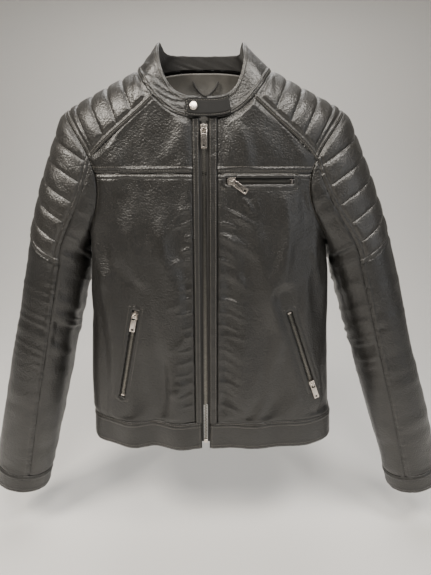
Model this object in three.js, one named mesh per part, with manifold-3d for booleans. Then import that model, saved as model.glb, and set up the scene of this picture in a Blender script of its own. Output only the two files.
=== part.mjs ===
// A zip-front biker jacket, hanging as it does on a hanger. Millimetres, +Z up, the front faces -Y.
// "right" and "left" are the wearer's: the wearer's right is at -X.
// The origin is the middle of the hanger's line, level with the side neck points.
import * as THREE from "three";
import { mergeVertices } from "three/addons/utils/BufferGeometryUtils.js";
import Module from "manifold-3d";

const wasm = await Module();
wasm.setup();

// ---- driving dimensions ----
const leather = 2.4; // shell with its backing
const liningCloth = 0.8;
const clear = 0.5; // between sewn pieces
const hemZ = -628; // bottom edge of the body
const hemBand = 52; // height of the hem band
const frontDepth = 80; // front of the body from the mid plane
const backDepth = 74;
const roundness = 3.2; // exponent of the body's oval section
const shoulderHalf = 240; // half width that the oval has at the shoulders
const chestZ = -190;
const chestHalf = { right: 196, left: 202 };
const hemHalf = { right: 212, left: 236 };
const neckHalf = 103; // side neck point
const neckDrop = 74; // front neck below the side neck point
const neckBackRise = 18;
const tipX = 222; // shoulder tip
const tipDrop = 58;
const ridgeCrown = 55; // how high the ridge would rise over the neck opening
const ridgeRound = 75; // height over which the body closes in to the shoulder ridge
const armpitZ = -262;
const armholeHollow = { right: 42, left: 50 }; // how far the armhole curves in at the chest
const notchZ = -132; // where the shoulder pad's front seam meets the armhole
const padNeckX = 72;
const yokeZ = -152; // chest seam
const sides = [
  { name: "right", sign: -1, bicepsX: 253, cuffX: 374 },
  { name: "left", sign: 1, bicepsX: 268, cuffX: 418 },
];
const sleeveStand = 1.6; // sleeve's edge off the armhole's edge
const bicepsZ = -292;
const cuffZ = -748;
const cuffBand = 38;
const bicepsHalf = [52, 62]; // half width and half depth
const elbowHalf = [51, 58];
const cuffHalf = [50, 42];
const seamAngle = [1.29, 1.85, 2.05]; // front sleeve seam at the armhole, the biceps and the cuff
const padEnd = 0.86; // end of the sleeve's padded panel, as a share of the upper sleeve
const padChevron = 0.13;
const collarHeight = { front: 30, side: 15, back: 21 }; // side is added at the two sides
const collarLean = { right: 0.66, left: 0.56 }; // the collar's top loop as a share of the neck loop
const collarGap = 4; // from the middle to each end of the collar
const placketInner = 6.6; // from the middle to the leather's edge at the zip
const placketOuter = { right: 17.5, left: 20 };
const liningInset = 13.3; // lining behind the leather's face
const facingWidth = 24; // lining starts this far from the middle
const yokeLiningDepth = 4;
const backLiningDepth = 4.4;
const facingThick = 1.2;
const facingGap = 0.7; // between the collar and its facing
const sleeveLiningDepth = 5;
const bagDepth = 8.7; // pocket bags behind the leather's face, less their zip's lift
const bagBack = 12.4;
const stayLength = 90;
const stayWidth = 24;
const stayDepth = 5.2;
const loopRadius = 1.8;

// zips
const chainHalf = 2.9; // half width of the closed chain
const chainGap = 0.8; // half of the gap that the slider's post runs in
const chainThick = 4.2;
const tapeThick = 0.8;
const tapeReach = 14;
const pocketTapeReach = 8.5;
const tapeDepth = 3.4; // tape behind the leather's face
const slider = { length: 11, half: 5.2, plate: 1.5, room: 0.6, post: 0.45, flange: 0.9 };
const crown = { length: 7, width: 2, height: 4.2, bar: 1.2 };
const pull = { length: 28, width: 9.2, thick: 1.2, eyeWidth: 6.4, eyeLength: 7.2, hole: 3.6, pivotBar: 0.55 };
const pullLift = 1.9; // the pull's pivot above the slider's plate
const mainZipTop = -82;
const mainZipEnd = -614;
const slotHalf = 5.6; // half width of a pocket's opening
const chestZip = { from: [36, -164], to: [133, -164], bow: 2.2, lift: 2.2 };
const handZips = {
  right: { from: [-115, -374], to: [-146, -527], lift: -0.6 },
  left: { from: [188, -514], to: [140, -376], bow: 1.9, lift: 0.7 },
};
const overTilt = 0.1; // a pull that lies past the nose leans out by this
const chestDroop = 0.6; // how far the chest pull hangs off the zip's line, in radians

// collar tab and snap
const tab = { from: -27, to: 40, low: 0, high: 0.86, stand: 4.8, thick: 1.6 };
const snap = { x: -15, capR: 6.2, capH: 1.7, socketR: 4.6, studR: 2, ring: 1.1 };

// ---- the body's surface ----
const clamp01 = (v) => Math.min(1, Math.max(0, v));
const mix = (a, b, t) => a + (b - a) * t;
const smooth = (t) => clamp01(t) ** 2 * (3 - 2 * clamp01(t));
const sideOf = (x) => (x < 0 ? "right" : "left");

function halfWidth(z, side) {
  if (z > -tipDrop) return shoulderHalf;
  if (z > chestZ) return mix(shoulderHalf, chestHalf[side], smooth((-tipDrop - z) / (-tipDrop - chestZ)));
  return mix(chestHalf[side], hemHalf[side], (chestZ - z) / (chestZ - hemZ));
}
const ridgeSlope = tipDrop / (tipX - neckHalf);
const ridgeZ = (x) => (Math.abs(x) > neckHalf ? -ridgeSlope * (Math.abs(x) - neckHalf) : ridgeCrown * (1 - (Math.abs(x) / neckHalf) ** 2.5));
function ridgeShare(x, z) {
  const d = clamp01((ridgeZ(x) - z) / ridgeRound);
  return (1 - (1 - d) ** 2.2) ** (1 / 2.2);
}
// A point of the body's outer face, at x and z, on the front (face -1) or the back (face 1).
function bodyPoint(x, z, face) {
  const share = clamp01(Math.abs(x) / halfWidth(z, sideOf(x)));
  const depth = (face < 0 ? frontDepth : backDepth) * (1 - share ** roundness) ** (1 / roundness);
  return new THREE.Vector3(x, face * depth * ridgeShare(x, z), z);
}
// How far outside the body a place is, for the direction that its face looks in.
function outside(x, y, z) {
  const share = Math.min(1.2, Math.abs(x) / halfWidth(z, sideOf(x)));
  const depth = y < 0 ? frontDepth : backDepth;
  return (Math.abs(y) / depth) ** roundness - (1 - share ** roundness) * ridgeShare(x, z) ** roundness;
}
// A place on the body with its normal, or one that lies behind it by a depth.
function bodyAt(x, z, face, depth = 0) {
  const p = bodyPoint(x, z, face);
  const h = 0.4;
  const slope = [[h, 0, 0], [0, h, 0], [0, 0, h]].map(([a, b, c]) => outside(p.x + a, p.y + b, p.z + c) - outside(p.x - a, p.y - b, p.z - c));
  const normal = new THREE.Vector3(...slope).normalize();
  return { point: p.addScaledVector(normal, -depth), normal };
}
// The same by angle: turn 0 is the middle of the face and 1 the side seam.
const xAtTurn = (turn, z, side) => halfWidth(z, side) * Math.sin((turn * Math.PI) / 2) ** (2 / roundness);
const turnAtX = (x, z, side) =>
  (Math.asin(clamp01(Math.abs(x) / halfWidth(z, side)) ** (roundness / 2)) * 2) / Math.PI;

function armholeX(z, side) {
  const q = clamp01((-tipDrop - z) / (-tipDrop - armpitZ));
  return mix(tipX, halfWidth(armpitZ, side), q) - armholeHollow[side] * Math.sin(Math.PI * q);
}
const neckZ = (x, face) => (face < 0 ? -neckDrop : neckBackRise) * Math.cos((Math.PI / 2) * clamp01(Math.abs(x) / neckHalf) ** 1.5);

// ---- solids ----
// A closed plate: its outer face passes through a grid of places, and it is thick inwards along their normals.
function plate(at, nu, nv, thick, { inset = clear / 2, closedU = false } = {}) {
  const rows = [];
  for (let j = 0; j <= nv; j++) {
    const row = [];
    for (let i = 0; i <= nu; i++) row.push(at(i / nu, j / nv));
    rows.push(row);
  }
  const pullIn = (a, b) => a.point.add(b.point.clone().sub(a.point).setLength(inset));
  for (const j of [0, nv]) rows[j].forEach((a, i) => pullIn(a, rows[j ? nv - 1 : 1][i]));
  if (!closedU) for (const row of rows) [[0, 1], [nu, nu - 1]].forEach(([i, k]) => pullIn(row[i], row[k]));
  const last = closedU ? nu : nu + 1;
  const positions = [];
  for (const depth of [0, thick])
    for (const row of rows)
      for (const { point, normal } of row.slice(0, last)) positions.push(...point.clone().addScaledVector(normal, -depth));
  const layer = last * (nv + 1);
  const id = (i, j, k) => k * layer + j * last + (closedU ? i % nu : i);
  const index = [];
  const quad = (p, q, r, t) => index.push(p, q, r, p, r, t);
  for (let j = 0; j < nv; j++)
    for (let i = 0; i < nu; i++) {
      quad(id(i, j, 0), id(i + 1, j, 0), id(i + 1, j + 1, 0), id(i, j + 1, 0));
      quad(id(i, j, 1), id(i, j + 1, 1), id(i + 1, j + 1, 1), id(i + 1, j, 1));
    }
  for (let i = 0; i < nu; i++) {
    quad(id(i, 0, 0), id(i, 0, 1), id(i + 1, 0, 1), id(i + 1, 0, 0));
    quad(id(i, nv, 0), id(i + 1, nv, 0), id(i + 1, nv, 1), id(i, nv, 1));
  }
  if (!closedU)
    for (let j = 0; j < nv; j++) {
      quad(id(0, j, 0), id(0, j + 1, 0), id(0, j + 1, 1), id(0, j, 1));
      quad(id(nu, j, 0), id(nu, j, 1), id(nu, j + 1, 1), id(nu, j + 1, 0));
    }
  return new THREE.BufferGeometry().setAttribute("position", new THREE.Float32BufferAttribute(positions, 3)).setIndex(index);
}
function toSolid(geometry) {
  const bare = geometry.clone();
  ["normal", "uv"].forEach((n) => bare.deleteAttribute(n));
  const merged = mergeVertices(bare, 1e-4);
  const mesh = { numProp: 3, vertProperties: merged.attributes.position.array, triVerts: new Uint32Array(merged.index.array) };
  const made = new wasm.Manifold(new wasm.Mesh(mesh));
  if (made.volume() >= 0) return made;
  for (let i = 0; i < mesh.triVerts.length; i += 3)
    [mesh.triVerts[i + 1], mesh.triVerts[i + 2]] = [mesh.triVerts[i + 2], mesh.triVerts[i + 1]];
  return new wasm.Manifold(new wasm.Mesh(mesh));
}
function fromSolid(solid) {
  const m = solid.getMesh();
  const v = new Float32Array(m.numVert * 3);
  for (let i = 0; i < m.numVert; i++) v.set(m.vertProperties.subarray(i * m.numProp, i * m.numProp + 3), i * 3);
  return new THREE.BufferGeometry().setAttribute("position", new THREE.BufferAttribute(v, 3)).setIndex([...m.triVerts]);
}
const joined = (...parts) => fromSolid(parts.map(toSolid).reduce((a, b) => a.add(b)));
const cut = (geometry, ...tools) => fromSolid(tools.map(toSolid).reduce((a, b) => a.subtract(b), toSolid(geometry)));

// ---- materials ----
const paint = (color, roughness, metalness = 0) => new THREE.MeshStandardMaterial({ color, roughness, metalness });
const shellLeather = paint(0x35322d, 0.5);
const padLeather = paint(0x3a3731, 0.5);
const liningSatin = paint(0x5c5a52, 0.6);
const brushedNickel = paint(0xb9a893, 0.35, 1);
const chainMetal = paint(0x8b836f, 0.4, 1);
const tapeCloth = paint(0x1d1c1a, 0.85);
const bagCloth = paint(0x262522, 0.85);

const jacket = new THREE.Group();
function add(name, geometry, material, parent = jacket) {
  const mesh = new THREE.Mesh(geometry, material);
  mesh.name = name;
  parent.add(mesh);
  return mesh;
}
// A grid made for the left side is mirrored for the right one, with its columns turned round so that it still faces out.
const onSide = (side, at) => (side.sign > 0 ? at : (u, v) => at(1 - u, v));

// ---- zips, in their own frame: +Z along the zip, -Y out of the jacket, the leather's face at y = 0 ----
const box = (x0, x1, y0, y1, z0, z1) => new THREE.BoxGeometry(x1 - x0, y1 - y0, z1 - z0).translate((x0 + x1) / 2, (y0 + y1) / 2, (z0 + z1) / 2);
const chainFace = tapeDepth + tapeThick / 2 - chainThick / 2; // the chain is centred on its tape
const chainBack = chainFace + chainThick;
const chainRow = (sign, z0, z1) => box(...(sign > 0 ? [chainGap, chainHalf] : [-chainHalf, -chainGap]), chainFace, chainBack, z0, z1);
const sliderFace = chainFace - slider.room - slider.plate;

function sliderBody() {
  const { length, half, plate: wall, room, post, flange } = slider;
  const h = length / 2;
  const back = chainBack + room;
  const edge = half - flange;
  const parts = [
    box(-half, half, sliderFace, sliderFace + wall, -h, h),
    box(-half, half, back, back + wall, -h, h),
    box(-post, post, sliderFace + wall / 2, back + wall / 2, h - 3, h - 0.2),
  ];
  for (const s of [-1, 1]) {
    const [a, b] = s > 0 ? [edge, half] : [-half, -edge];
    parts.push(box(a, b, sliderFace + wall / 2, tapeDepth - room, -h + 0.5, h - 0.5));
    parts.push(box(a, b, tapeDepth + tapeThick + room, back + wall / 2, -h + 0.5, h - 0.5));
  }
  // the crown that the pull hangs on
  const top = sliderFace - crown.height;
  const w = crown.width / 2;
  parts.push(box(-w, w, top, top + crown.bar, -crown.length / 2, crown.length / 2));
  for (const s of [-1, 1]) {
    const z = (s * (crown.length - crown.bar)) / 2;
    parts.push(box(-w, w, top + crown.bar / 2, sliderFace + wall / 2, z - crown.bar / 2, z + crown.bar / 2));
  }
  return joined(...parts);
}
// The pull lies from its pivot bar, at z = 0, towards -Z.
function pullTab() {
  const { length, width, thick, eyeWidth, eyeLength, hole, pivotBar } = pull;
  const w = width / 2;
  const shape = new THREE.Shape();
  shape.moveTo(-w * 0.86, pivotBar).lineTo(w * 0.86, pivotBar).lineTo(w, -eyeLength * 0.6);
  shape.lineTo(w, -length + 1).lineTo(w - 1, -length).lineTo(1 - w, -length).lineTo(-w, -length + 1);
  shape.lineTo(-w, -eyeLength * 0.6).closePath();
  const window = (half, top, bottom) => {
    const p = new THREE.Path();
    p.moveTo(-half, top).lineTo(-half, bottom).lineTo(half, bottom).lineTo(half, top).closePath();
    shape.holes.push(p);
  };
  window(Math.min(eyeWidth / 2, w - 1.3), -pivotBar, -eyeLength);
  window(hole / 2, -length + hole + 2, -length + 2);
  return new THREE.ExtrudeGeometry(shape, { depth: thick, bevelEnabled: false }).rotateX(Math.PI / 2).translate(0, thick / 2, 0);
}
// The slider's nose points to +Z. Its pull lies along the chain, or past the nose if it is turned over.
function placeSlider(prefix, frame, z, { droop = 0, over = false } = {}) {
  const seat = new THREE.Group();
  seat.position.z = z;
  frame.add(seat);
  add(`${prefix}_slider`, sliderBody(), brushedNickel, seat);
  const hang = new THREE.Group();
  hang.position.y = sliderFace - pullLift;
  hang.rotation.set(over ? overTilt - Math.PI : 0, droop, 0);
  seat.add(hang);
  add(`${prefix}_pull`, pullTab(), brushedNickel, hang);
}

// ---- front zip ----
const frontZip = new THREE.Group();
frontZip.position.y = -frontDepth;
jacket.add(frontZip);
const stopLength = 5;
for (const side of sides) {
  const s = side.sign;
  const [a, b] = s > 0 ? [chainHalf + clear, tapeReach] : [-tapeReach, -chainHalf - clear];
  add(`${side.name}_front_zip_tape`, box(a, b, tapeDepth, tapeDepth + tapeThick, mainZipEnd, mainZipTop + 4), tapeCloth, frontZip);
  add(`${side.name}_front_zip_teeth`, chainRow(s, mainZipEnd + stopLength + clear, mainZipTop), chainMetal, frontZip);
}
add("front_zip_box", box(-chainHalf - 0.2, chainHalf + 0.2, chainFace - 0.4, chainBack + 0.4, mainZipEnd - 2, mainZipEnd + stopLength), brushedNickel, frontZip);
placeSlider("front", frontZip, mainZipTop - slider.length / 2 - 1);

// ---- pocket zips: each sits in a frame on the body's face, and bends with it if its bow is over zero ----
function zipFrame({ from, to, bow = 0, lift = 0 }) {
  const ends = [from, to].map(([x, z]) => bodyPoint(x, z, -1));
  const along = ends[0].clone().sub(ends[1]);
  const span = along.length();
  const middle = ends[0].clone().add(ends[1]).multiplyScalar(0.5);
  along.normalize();
  const inward = bodyAt(middle.x, middle.z, -1).normal.negate();
  inward.addScaledVector(along, -inward.dot(along)).normalize();
  middle.addScaledVector(inward, -lift);
  const frame = new THREE.Group();
  frame.matrix.makeBasis(inward.clone().cross(along), inward, along).setPosition(middle);
  frame.matrix.decompose(frame.position, frame.quaternion, frame.scale);
  jacket.add(frame);
  frame.updateMatrixWorld(true);
  return { frame, span, radius: bow ? span ** 2 / (8 * bow) : Infinity };
}
const slotTool = ({ frame, span }) => box(-slotHalf, slotHalf, -20, 12, -span / 2 - 7, span / 2 + 7).applyMatrix4(frame.matrixWorld);
// Bends a straight strip, cut into short steps along Z, round the zip's arc.
function bent(geometry, radius) {
  if (radius === Infinity) return geometry;
  const p = geometry.attributes.position;
  for (let i = 0; i < p.count; i++) {
    const turn = p.getZ(i) / radius;
    p.setXYZ(i, p.getX(i), radius - (radius - p.getY(i)) * Math.cos(turn), (radius - p.getY(i)) * Math.sin(turn));
  }
  return geometry;
}
function pocketZip(prefix, { frame, span, radius }, options) {
  const h = span / 2;
  const endStop = 2.4;
  const steps = radius === Infinity ? 1 : 10;
  const bar = (x0, x1, y0, y1, z0, z1) => new THREE.BoxGeometry(x1 - x0, y1 - y0, z1 - z0, 1, 1, steps).translate((x0 + x1) / 2, (y0 + y1) / 2, (z0 + z1) / 2);
  const flat = [-h - 11, h + 11];
  const ring = joined(
    ...[-1, 1].map((k) => bar(...(k > 0 ? [chainHalf + clear, pocketTapeReach] : [-pocketTapeReach, -chainHalf - clear]), tapeDepth, tapeDepth + tapeThick, ...flat)),
    ...[-1, 1].map((k) => bar(-pocketTapeReach, pocketTapeReach, tapeDepth, tapeDepth + tapeThick, ...(k > 0 ? [h + 6, h + 11] : [-h - 11, -h - 6]))),
  );
  add(`${prefix}_zip_tape`, radius === Infinity ? ring : bent(ring, radius), tapeCloth, frame);
  const rows = [-1, 1].map((k) => bar(...(k > 0 ? [chainGap, chainHalf] : [-chainHalf, -chainGap]), chainFace, chainBack, -h, h));
  rows.push(box(-chainHalf, chainHalf, chainFace, chainBack, -h - endStop, -h + 0.5));
  add(`${prefix}_zip_teeth`, bent(joined(...rows), radius), chainMetal, frame);
  if (radius === Infinity) return placeSlider(prefix, frame, h - slider.length / 2, options);
  const turn = (h - slider.length / 2) / radius;
  const carriage = new THREE.Group();
  carriage.position.set(0, radius * (1 - Math.cos(turn)), radius * Math.sin(turn));
  carriage.rotation.x = -turn;
  frame.add(carriage);
  placeSlider(prefix, carriage, 0, options);
}
const chest = zipFrame(chestZip);
const hands = Object.fromEntries(Object.entries(handZips).map(([k, v]) => [k, zipFrame(v)]));
pocketZip("chest_pocket", chest, { droop: chestDroop });
pocketZip("right_pocket", hands.right);
pocketZip("left_pocket", hands.left, { over: true });

// ---- body panels ----
const bandTop = hemZ + hemBand;
const rowZ = (v) => (v < 0.5 ? mix(bandTop, armpitZ, v * 2) : mix(armpitZ, yokeZ, (v * 2 - 1) ** 1.8)); // rows lie closer at the armpit
const edgeTurn = (z, side, back = 0) => (z > armpitZ ? turnAtX(armholeX(z, side) - back, z, side) : 1);
const padLine = (x, name, face) => mix(neckZ(padNeckX, face), notchZ, clamp01((x - padNeckX) / (armholeX(notchZ, name) - padNeckX)));
const yokeRow = (v) => 1 - (1 - v) ** 1.6; // rows lie closer at the top
const neckSteps = 0.4; // share of a yoke's columns that lie below the neck
function yokeX(u, x0, x1) {
  return u < neckSteps ? mix(x0, padNeckX, u / neckSteps) : mix(padNeckX, x1, (u - neckSteps) / (1 - neckSteps));
}
for (const side of sides) {
  const { name, sign: s } = side;
  const placket = placketOuter[name];
  const strip = (u, z, x0, turn1, depth) => bodyAt(s * xAtTurn(mix(turnAtX(x0, z, name), turn1, u), z, name), z, -1, depth);
  // from the chest seam down to the hem band, cut for the pockets
  let panel = plate(onSide(side, (u, v) => strip(u, rowZ(v), placket, edgeTurn(rowZ(v), name))), 9, 12, leather);
  panel = cut(panel, slotTool(hands[name]), ...(s > 0 ? [slotTool(chest)] : []));
  add(`${name}_front_panel`, panel, shellLeather);
  add(`${name}_front_hem_band`, plate(onSide(side, (u, v) => strip(u, mix(hemZ, bandTop, v), placketInner, 1)), 9, 1, leather + 0.6), shellLeather);
  add(`${name}_placket`, plate(onSide(side, (u, v) => bodyAt(s * mix(placketInner, placket, u), mix(bandTop, neckZ(placket, -1), v), -1)), 1, 8, leather), shellLeather);
  // yoke: from the chest seam up to the neck and the shoulder pad's seam
  const yoke = (u, v) => {
    const z1 = padLine(yokeX(u, placket, armholeX(notchZ, name)), name, -1);
    const x1 = yokeX(u, placket, armholeX(notchZ, name));
    const top = x1 < padNeckX ? neckZ(x1, -1) : z1;
    const z = mix(yokeZ, top, yokeRow(v));
    const x = mix(yokeX(u, placket, armholeX(yokeZ, name)), x1, yokeRow(v));
    return bodyAt(s * (u === 1 ? armholeX(z, name) : x), z, -1);
  };
  add(`${name}_front_yoke`, plate(onSide(side, yoke), 10, 6, leather), shellLeather);
  // shoulder pad: from the front seam over the ridge to the back seam
  const padPoint = (u, v) => {
    const w = Math.abs(2 * v - 1) ** 1.6;
    const x1 = mix(neckHalf, tipX, u);
    const z = mix(ridgeZ(x1), padLine(mix(padNeckX, armholeX(notchZ, name), u), name, v < 0.5 ? -1 : 1), w);
    const bulge = armholeX(z, name) - mix(tipX, armholeX(notchZ, name), w);
    const x = mix(x1, mix(padNeckX, armholeX(notchZ, name), u), w) + (u === 0 ? 0 : u ** 3 * bulge);
    return bodyAt(s * x, Math.min(z, ridgeZ(x)), v < 0.5 ? -1 : 1);
  };
  add(`${name}_shoulder_pad`, plate(onSide(side, padPoint), 6, 12, leather, { inset: clear }), padLeather);
  // lining of the front, behind the pockets
  const inner = (u, v) => strip(u, mix(hemZ + hemBand / 2, yokeZ, v), facingWidth, edgeTurn(mix(hemZ + hemBand / 2, yokeZ, v), name, 8), liningInset);
  add(`${name}_front_lining`, plate(onSide(side, inner), 8, 8, liningCloth), liningSatin);
  // stay on the inside of the shoulder, where the hanger bears
  const stay = new THREE.Group();
  stay.position.set((s * (neckHalf + tipX)) / 2, 0, ridgeZ((neckHalf + tipX) / 2));
  stay.rotation.y = s * Math.atan(ridgeSlope);
  jacket.add(stay);
  add(`${name}_shoulder_stay`, box(-stayLength / 2, stayLength / 2, -stayWidth / 2, stayWidth / 2, -stayDepth - 3, -stayDepth), bagCloth, stay);
  // pocket bag, flat behind the hand pocket's zip
  const heights = [handZips[name].from[1], handZips[name].to[1]];
  const bagFace = bagDepth + Math.max(-handZips[name].lift, handZips[name].lift * 1.2);
  const bag = (u, v) => bodyAt(s * mix(52, 172, u), mix(Math.min(...heights) - 12, Math.max(...heights) + 8, v), -1, bagFace);
  add(`${name}_pocket_bag`, plate(onSide(side, bag), 5, 4, bagBack - bagFace), bagCloth);
}
add("chest_pocket_bag", plate((u, v) => bodyAt(mix(34, 134, u), mix(-300, -164, v), -1, bagDepth), 5, 4, bagBack - bagDepth), bagCloth);
// back: one panel, one yoke and one band from side seam to side seam; u runs from the left to the right
const half = (u) => ({ name: u < 0.5 ? "left" : "right", sign: u < 0.5 ? 1 : -1, out: Math.abs(2 * u - 1) });
const backStrip = (u, z, back, depth) => {
  const { name, sign, out } = half(u);
  return bodyAt(sign * xAtTurn(out * edgeTurn(z, name, back), z, name), z, 1, depth);
};
add("back_panel", plate((u, v) => backStrip(u, rowZ(v)), 16, 12, leather), shellLeather);
add("back_hem_band", plate((u, v) => backStrip(u, mix(hemZ, bandTop, v)), 16, 1, leather + 0.6), shellLeather);
const backYoke = (depth, back) => (u, v) => {
  const { name, sign, out } = half(u);
  const edge = (z) => armholeX(z, name) - back;
  const x1 = yokeX(out, 0, edge(notchZ));
  const top = x1 < padNeckX ? neckZ(x1, 1) : padLine(x1, name, 1);
  const z = mix(yokeZ, top - back, yokeRow(v));
  const x = out === 1 ? edge(z) : mix(yokeX(out, 0, edge(yokeZ)), x1, yokeRow(v));
  return bodyAt(sign * x, z, 1, depth);
};
add("back_yoke", plate(backYoke(0, 0), 20, 6, leather), shellLeather);
add("yoke_lining", plate(backYoke(yokeLiningDepth, 3), 20, 6, liningCloth), liningSatin);
const liningZ = (v) => (v < 0.5 ? mix(hemZ + hemBand / 2, armpitZ, v * 2) : mix(armpitZ, yokeZ - 6, (v * 2 - 1) ** 1.8));
add("back_lining", plate((u, v) => backStrip(u, liningZ(v), 6, backLiningDepth), 16, 12, liningCloth), liningSatin);

// ---- collar ----
// angle 0 is the front middle, and the loop runs by the left side to the back
function neckLoop(angle) {
  const x = neckHalf * Math.sin(angle);
  const face = Math.cos(angle) >= 0 ? -1 : 1;
  return bodyPoint(x, Math.min(neckZ(x, face), ridgeZ(x)), face);
}
function collarFace(angle, share) {
  const p = neckLoop(angle);
  const height = mix(collarHeight.front, collarHeight.back, (1 - Math.cos(angle)) / 2) + collarHeight.side * Math.sin(angle) ** 4;
  const lean = mix(1, Math.sin(angle) < 0 ? collarLean.right : collarLean.left, share * Math.abs(Math.sin(angle)) ** 1.5);
  return new THREE.Vector3(p.x * lean, p.y * mix(1, 0.92, share), p.z + 1.7 + height * share);
}
function collarAt(angle, share, stand = 0) {
  const point = collarFace(angle, share);
  const around = collarFace(angle + 0.02, share).sub(collarFace(angle - 0.02, share));
  const up = collarFace(angle, share + 0.05).sub(collarFace(angle, share - 0.05));
  const normal = around.cross(up).normalize();
  return { point: point.addScaledVector(normal, stand), normal };
}
const collarEnd = Math.asin(collarGap / neckHalf);
const collarAngle = (u) => mix(collarEnd, 2 * Math.PI - collarEnd, u);
add("collar", plate((u, v) => collarAt(collarAngle(u), v), 30, 2, leather), shellLeather);
add("collar_facing", plate((u, v) => collarAt(collarAngle(u), mix(0.08, 0.93, v), -leather - facingGap), 30, 2, facingThick), shellLeather);
const tabAngle = (u) => mix(Math.asin(tab.from / neckHalf), Math.asin(tab.to / neckHalf), u);
add("collar_tab", plate((u, v) => collarAt(tabAngle(u), mix(tab.low, tab.high, v), tab.stand), 8, 2, tab.thick), shellLeather);
// snap: cap and socket on the tab, stud and post on the collar
const snapSeat = collarAt(Math.asin(snap.x / neckHalf), (tab.low + tab.high) / 2);
const snapFrame = new THREE.Group();
snapFrame.position.copy(snapSeat.point);
snapFrame.quaternion.setFromUnitVectors(new THREE.Vector3(0, 1, 0), snapSeat.normal);
jacket.add(snapFrame);
const turned = (...points) => new THREE.LatheGeometry(points.map(([r, y]) => new THREE.Vector2(r, y)), 20);
const capSeat = tab.stand + 0.5;
const tabBack = tab.stand - tab.thick - 0.5;
const postSeat = -leather - facingGap - facingThick - 0.8;
add("snap_cap", turned([0, capSeat], [snap.capR, capSeat], [snap.capR, capSeat + 0.7], [snap.capR - 1.2, capSeat + snap.capH], [0, capSeat + snap.capH]), brushedNickel, snapFrame);
const bore = snap.studR + 0.6;
add("snap_socket", turned([bore, tabBack - snap.ring], [snap.socketR, tabBack - snap.ring], [snap.socketR, tabBack], [bore, tabBack], [bore, tabBack - snap.ring]), chainMetal, snapFrame);
add("snap_stud", turned([0, 0.4], [snap.socketR, 0.4], [snap.socketR, 0.8], [snap.studR, 0.8], [snap.studR, tabBack - 0.3], [0, tabBack - 0.3]), chainMetal, snapFrame);
add("snap_post", turned([0, postSeat - 0.9], [snap.socketR, postSeat - 0.9], [snap.socketR, postSeat], [0, postSeat]), chainMetal, snapFrame);

// hang loop on the inside of the back neck
const loopPath = new THREE.CatmullRomCurve3(
  [[-22, 2, 0], [-17, -9, 3], [0, -24, 6], [17, -9, 3], [22, 2, 0]].map(([x, z, out]) => bodyAt(x, z, 1, yokeLiningDepth + liningCloth + 0.9 + loopRadius + out).point),
);
const cordSection = new THREE.Shape().absarc(0, 0, loopRadius, 0, Math.PI * 2);
add("hang_loop", new THREE.ExtrudeGeometry(cordSection, { steps: 16, extrudePath: loopPath, curveSegments: 4, bevelEnabled: false }), bagCloth);

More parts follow.
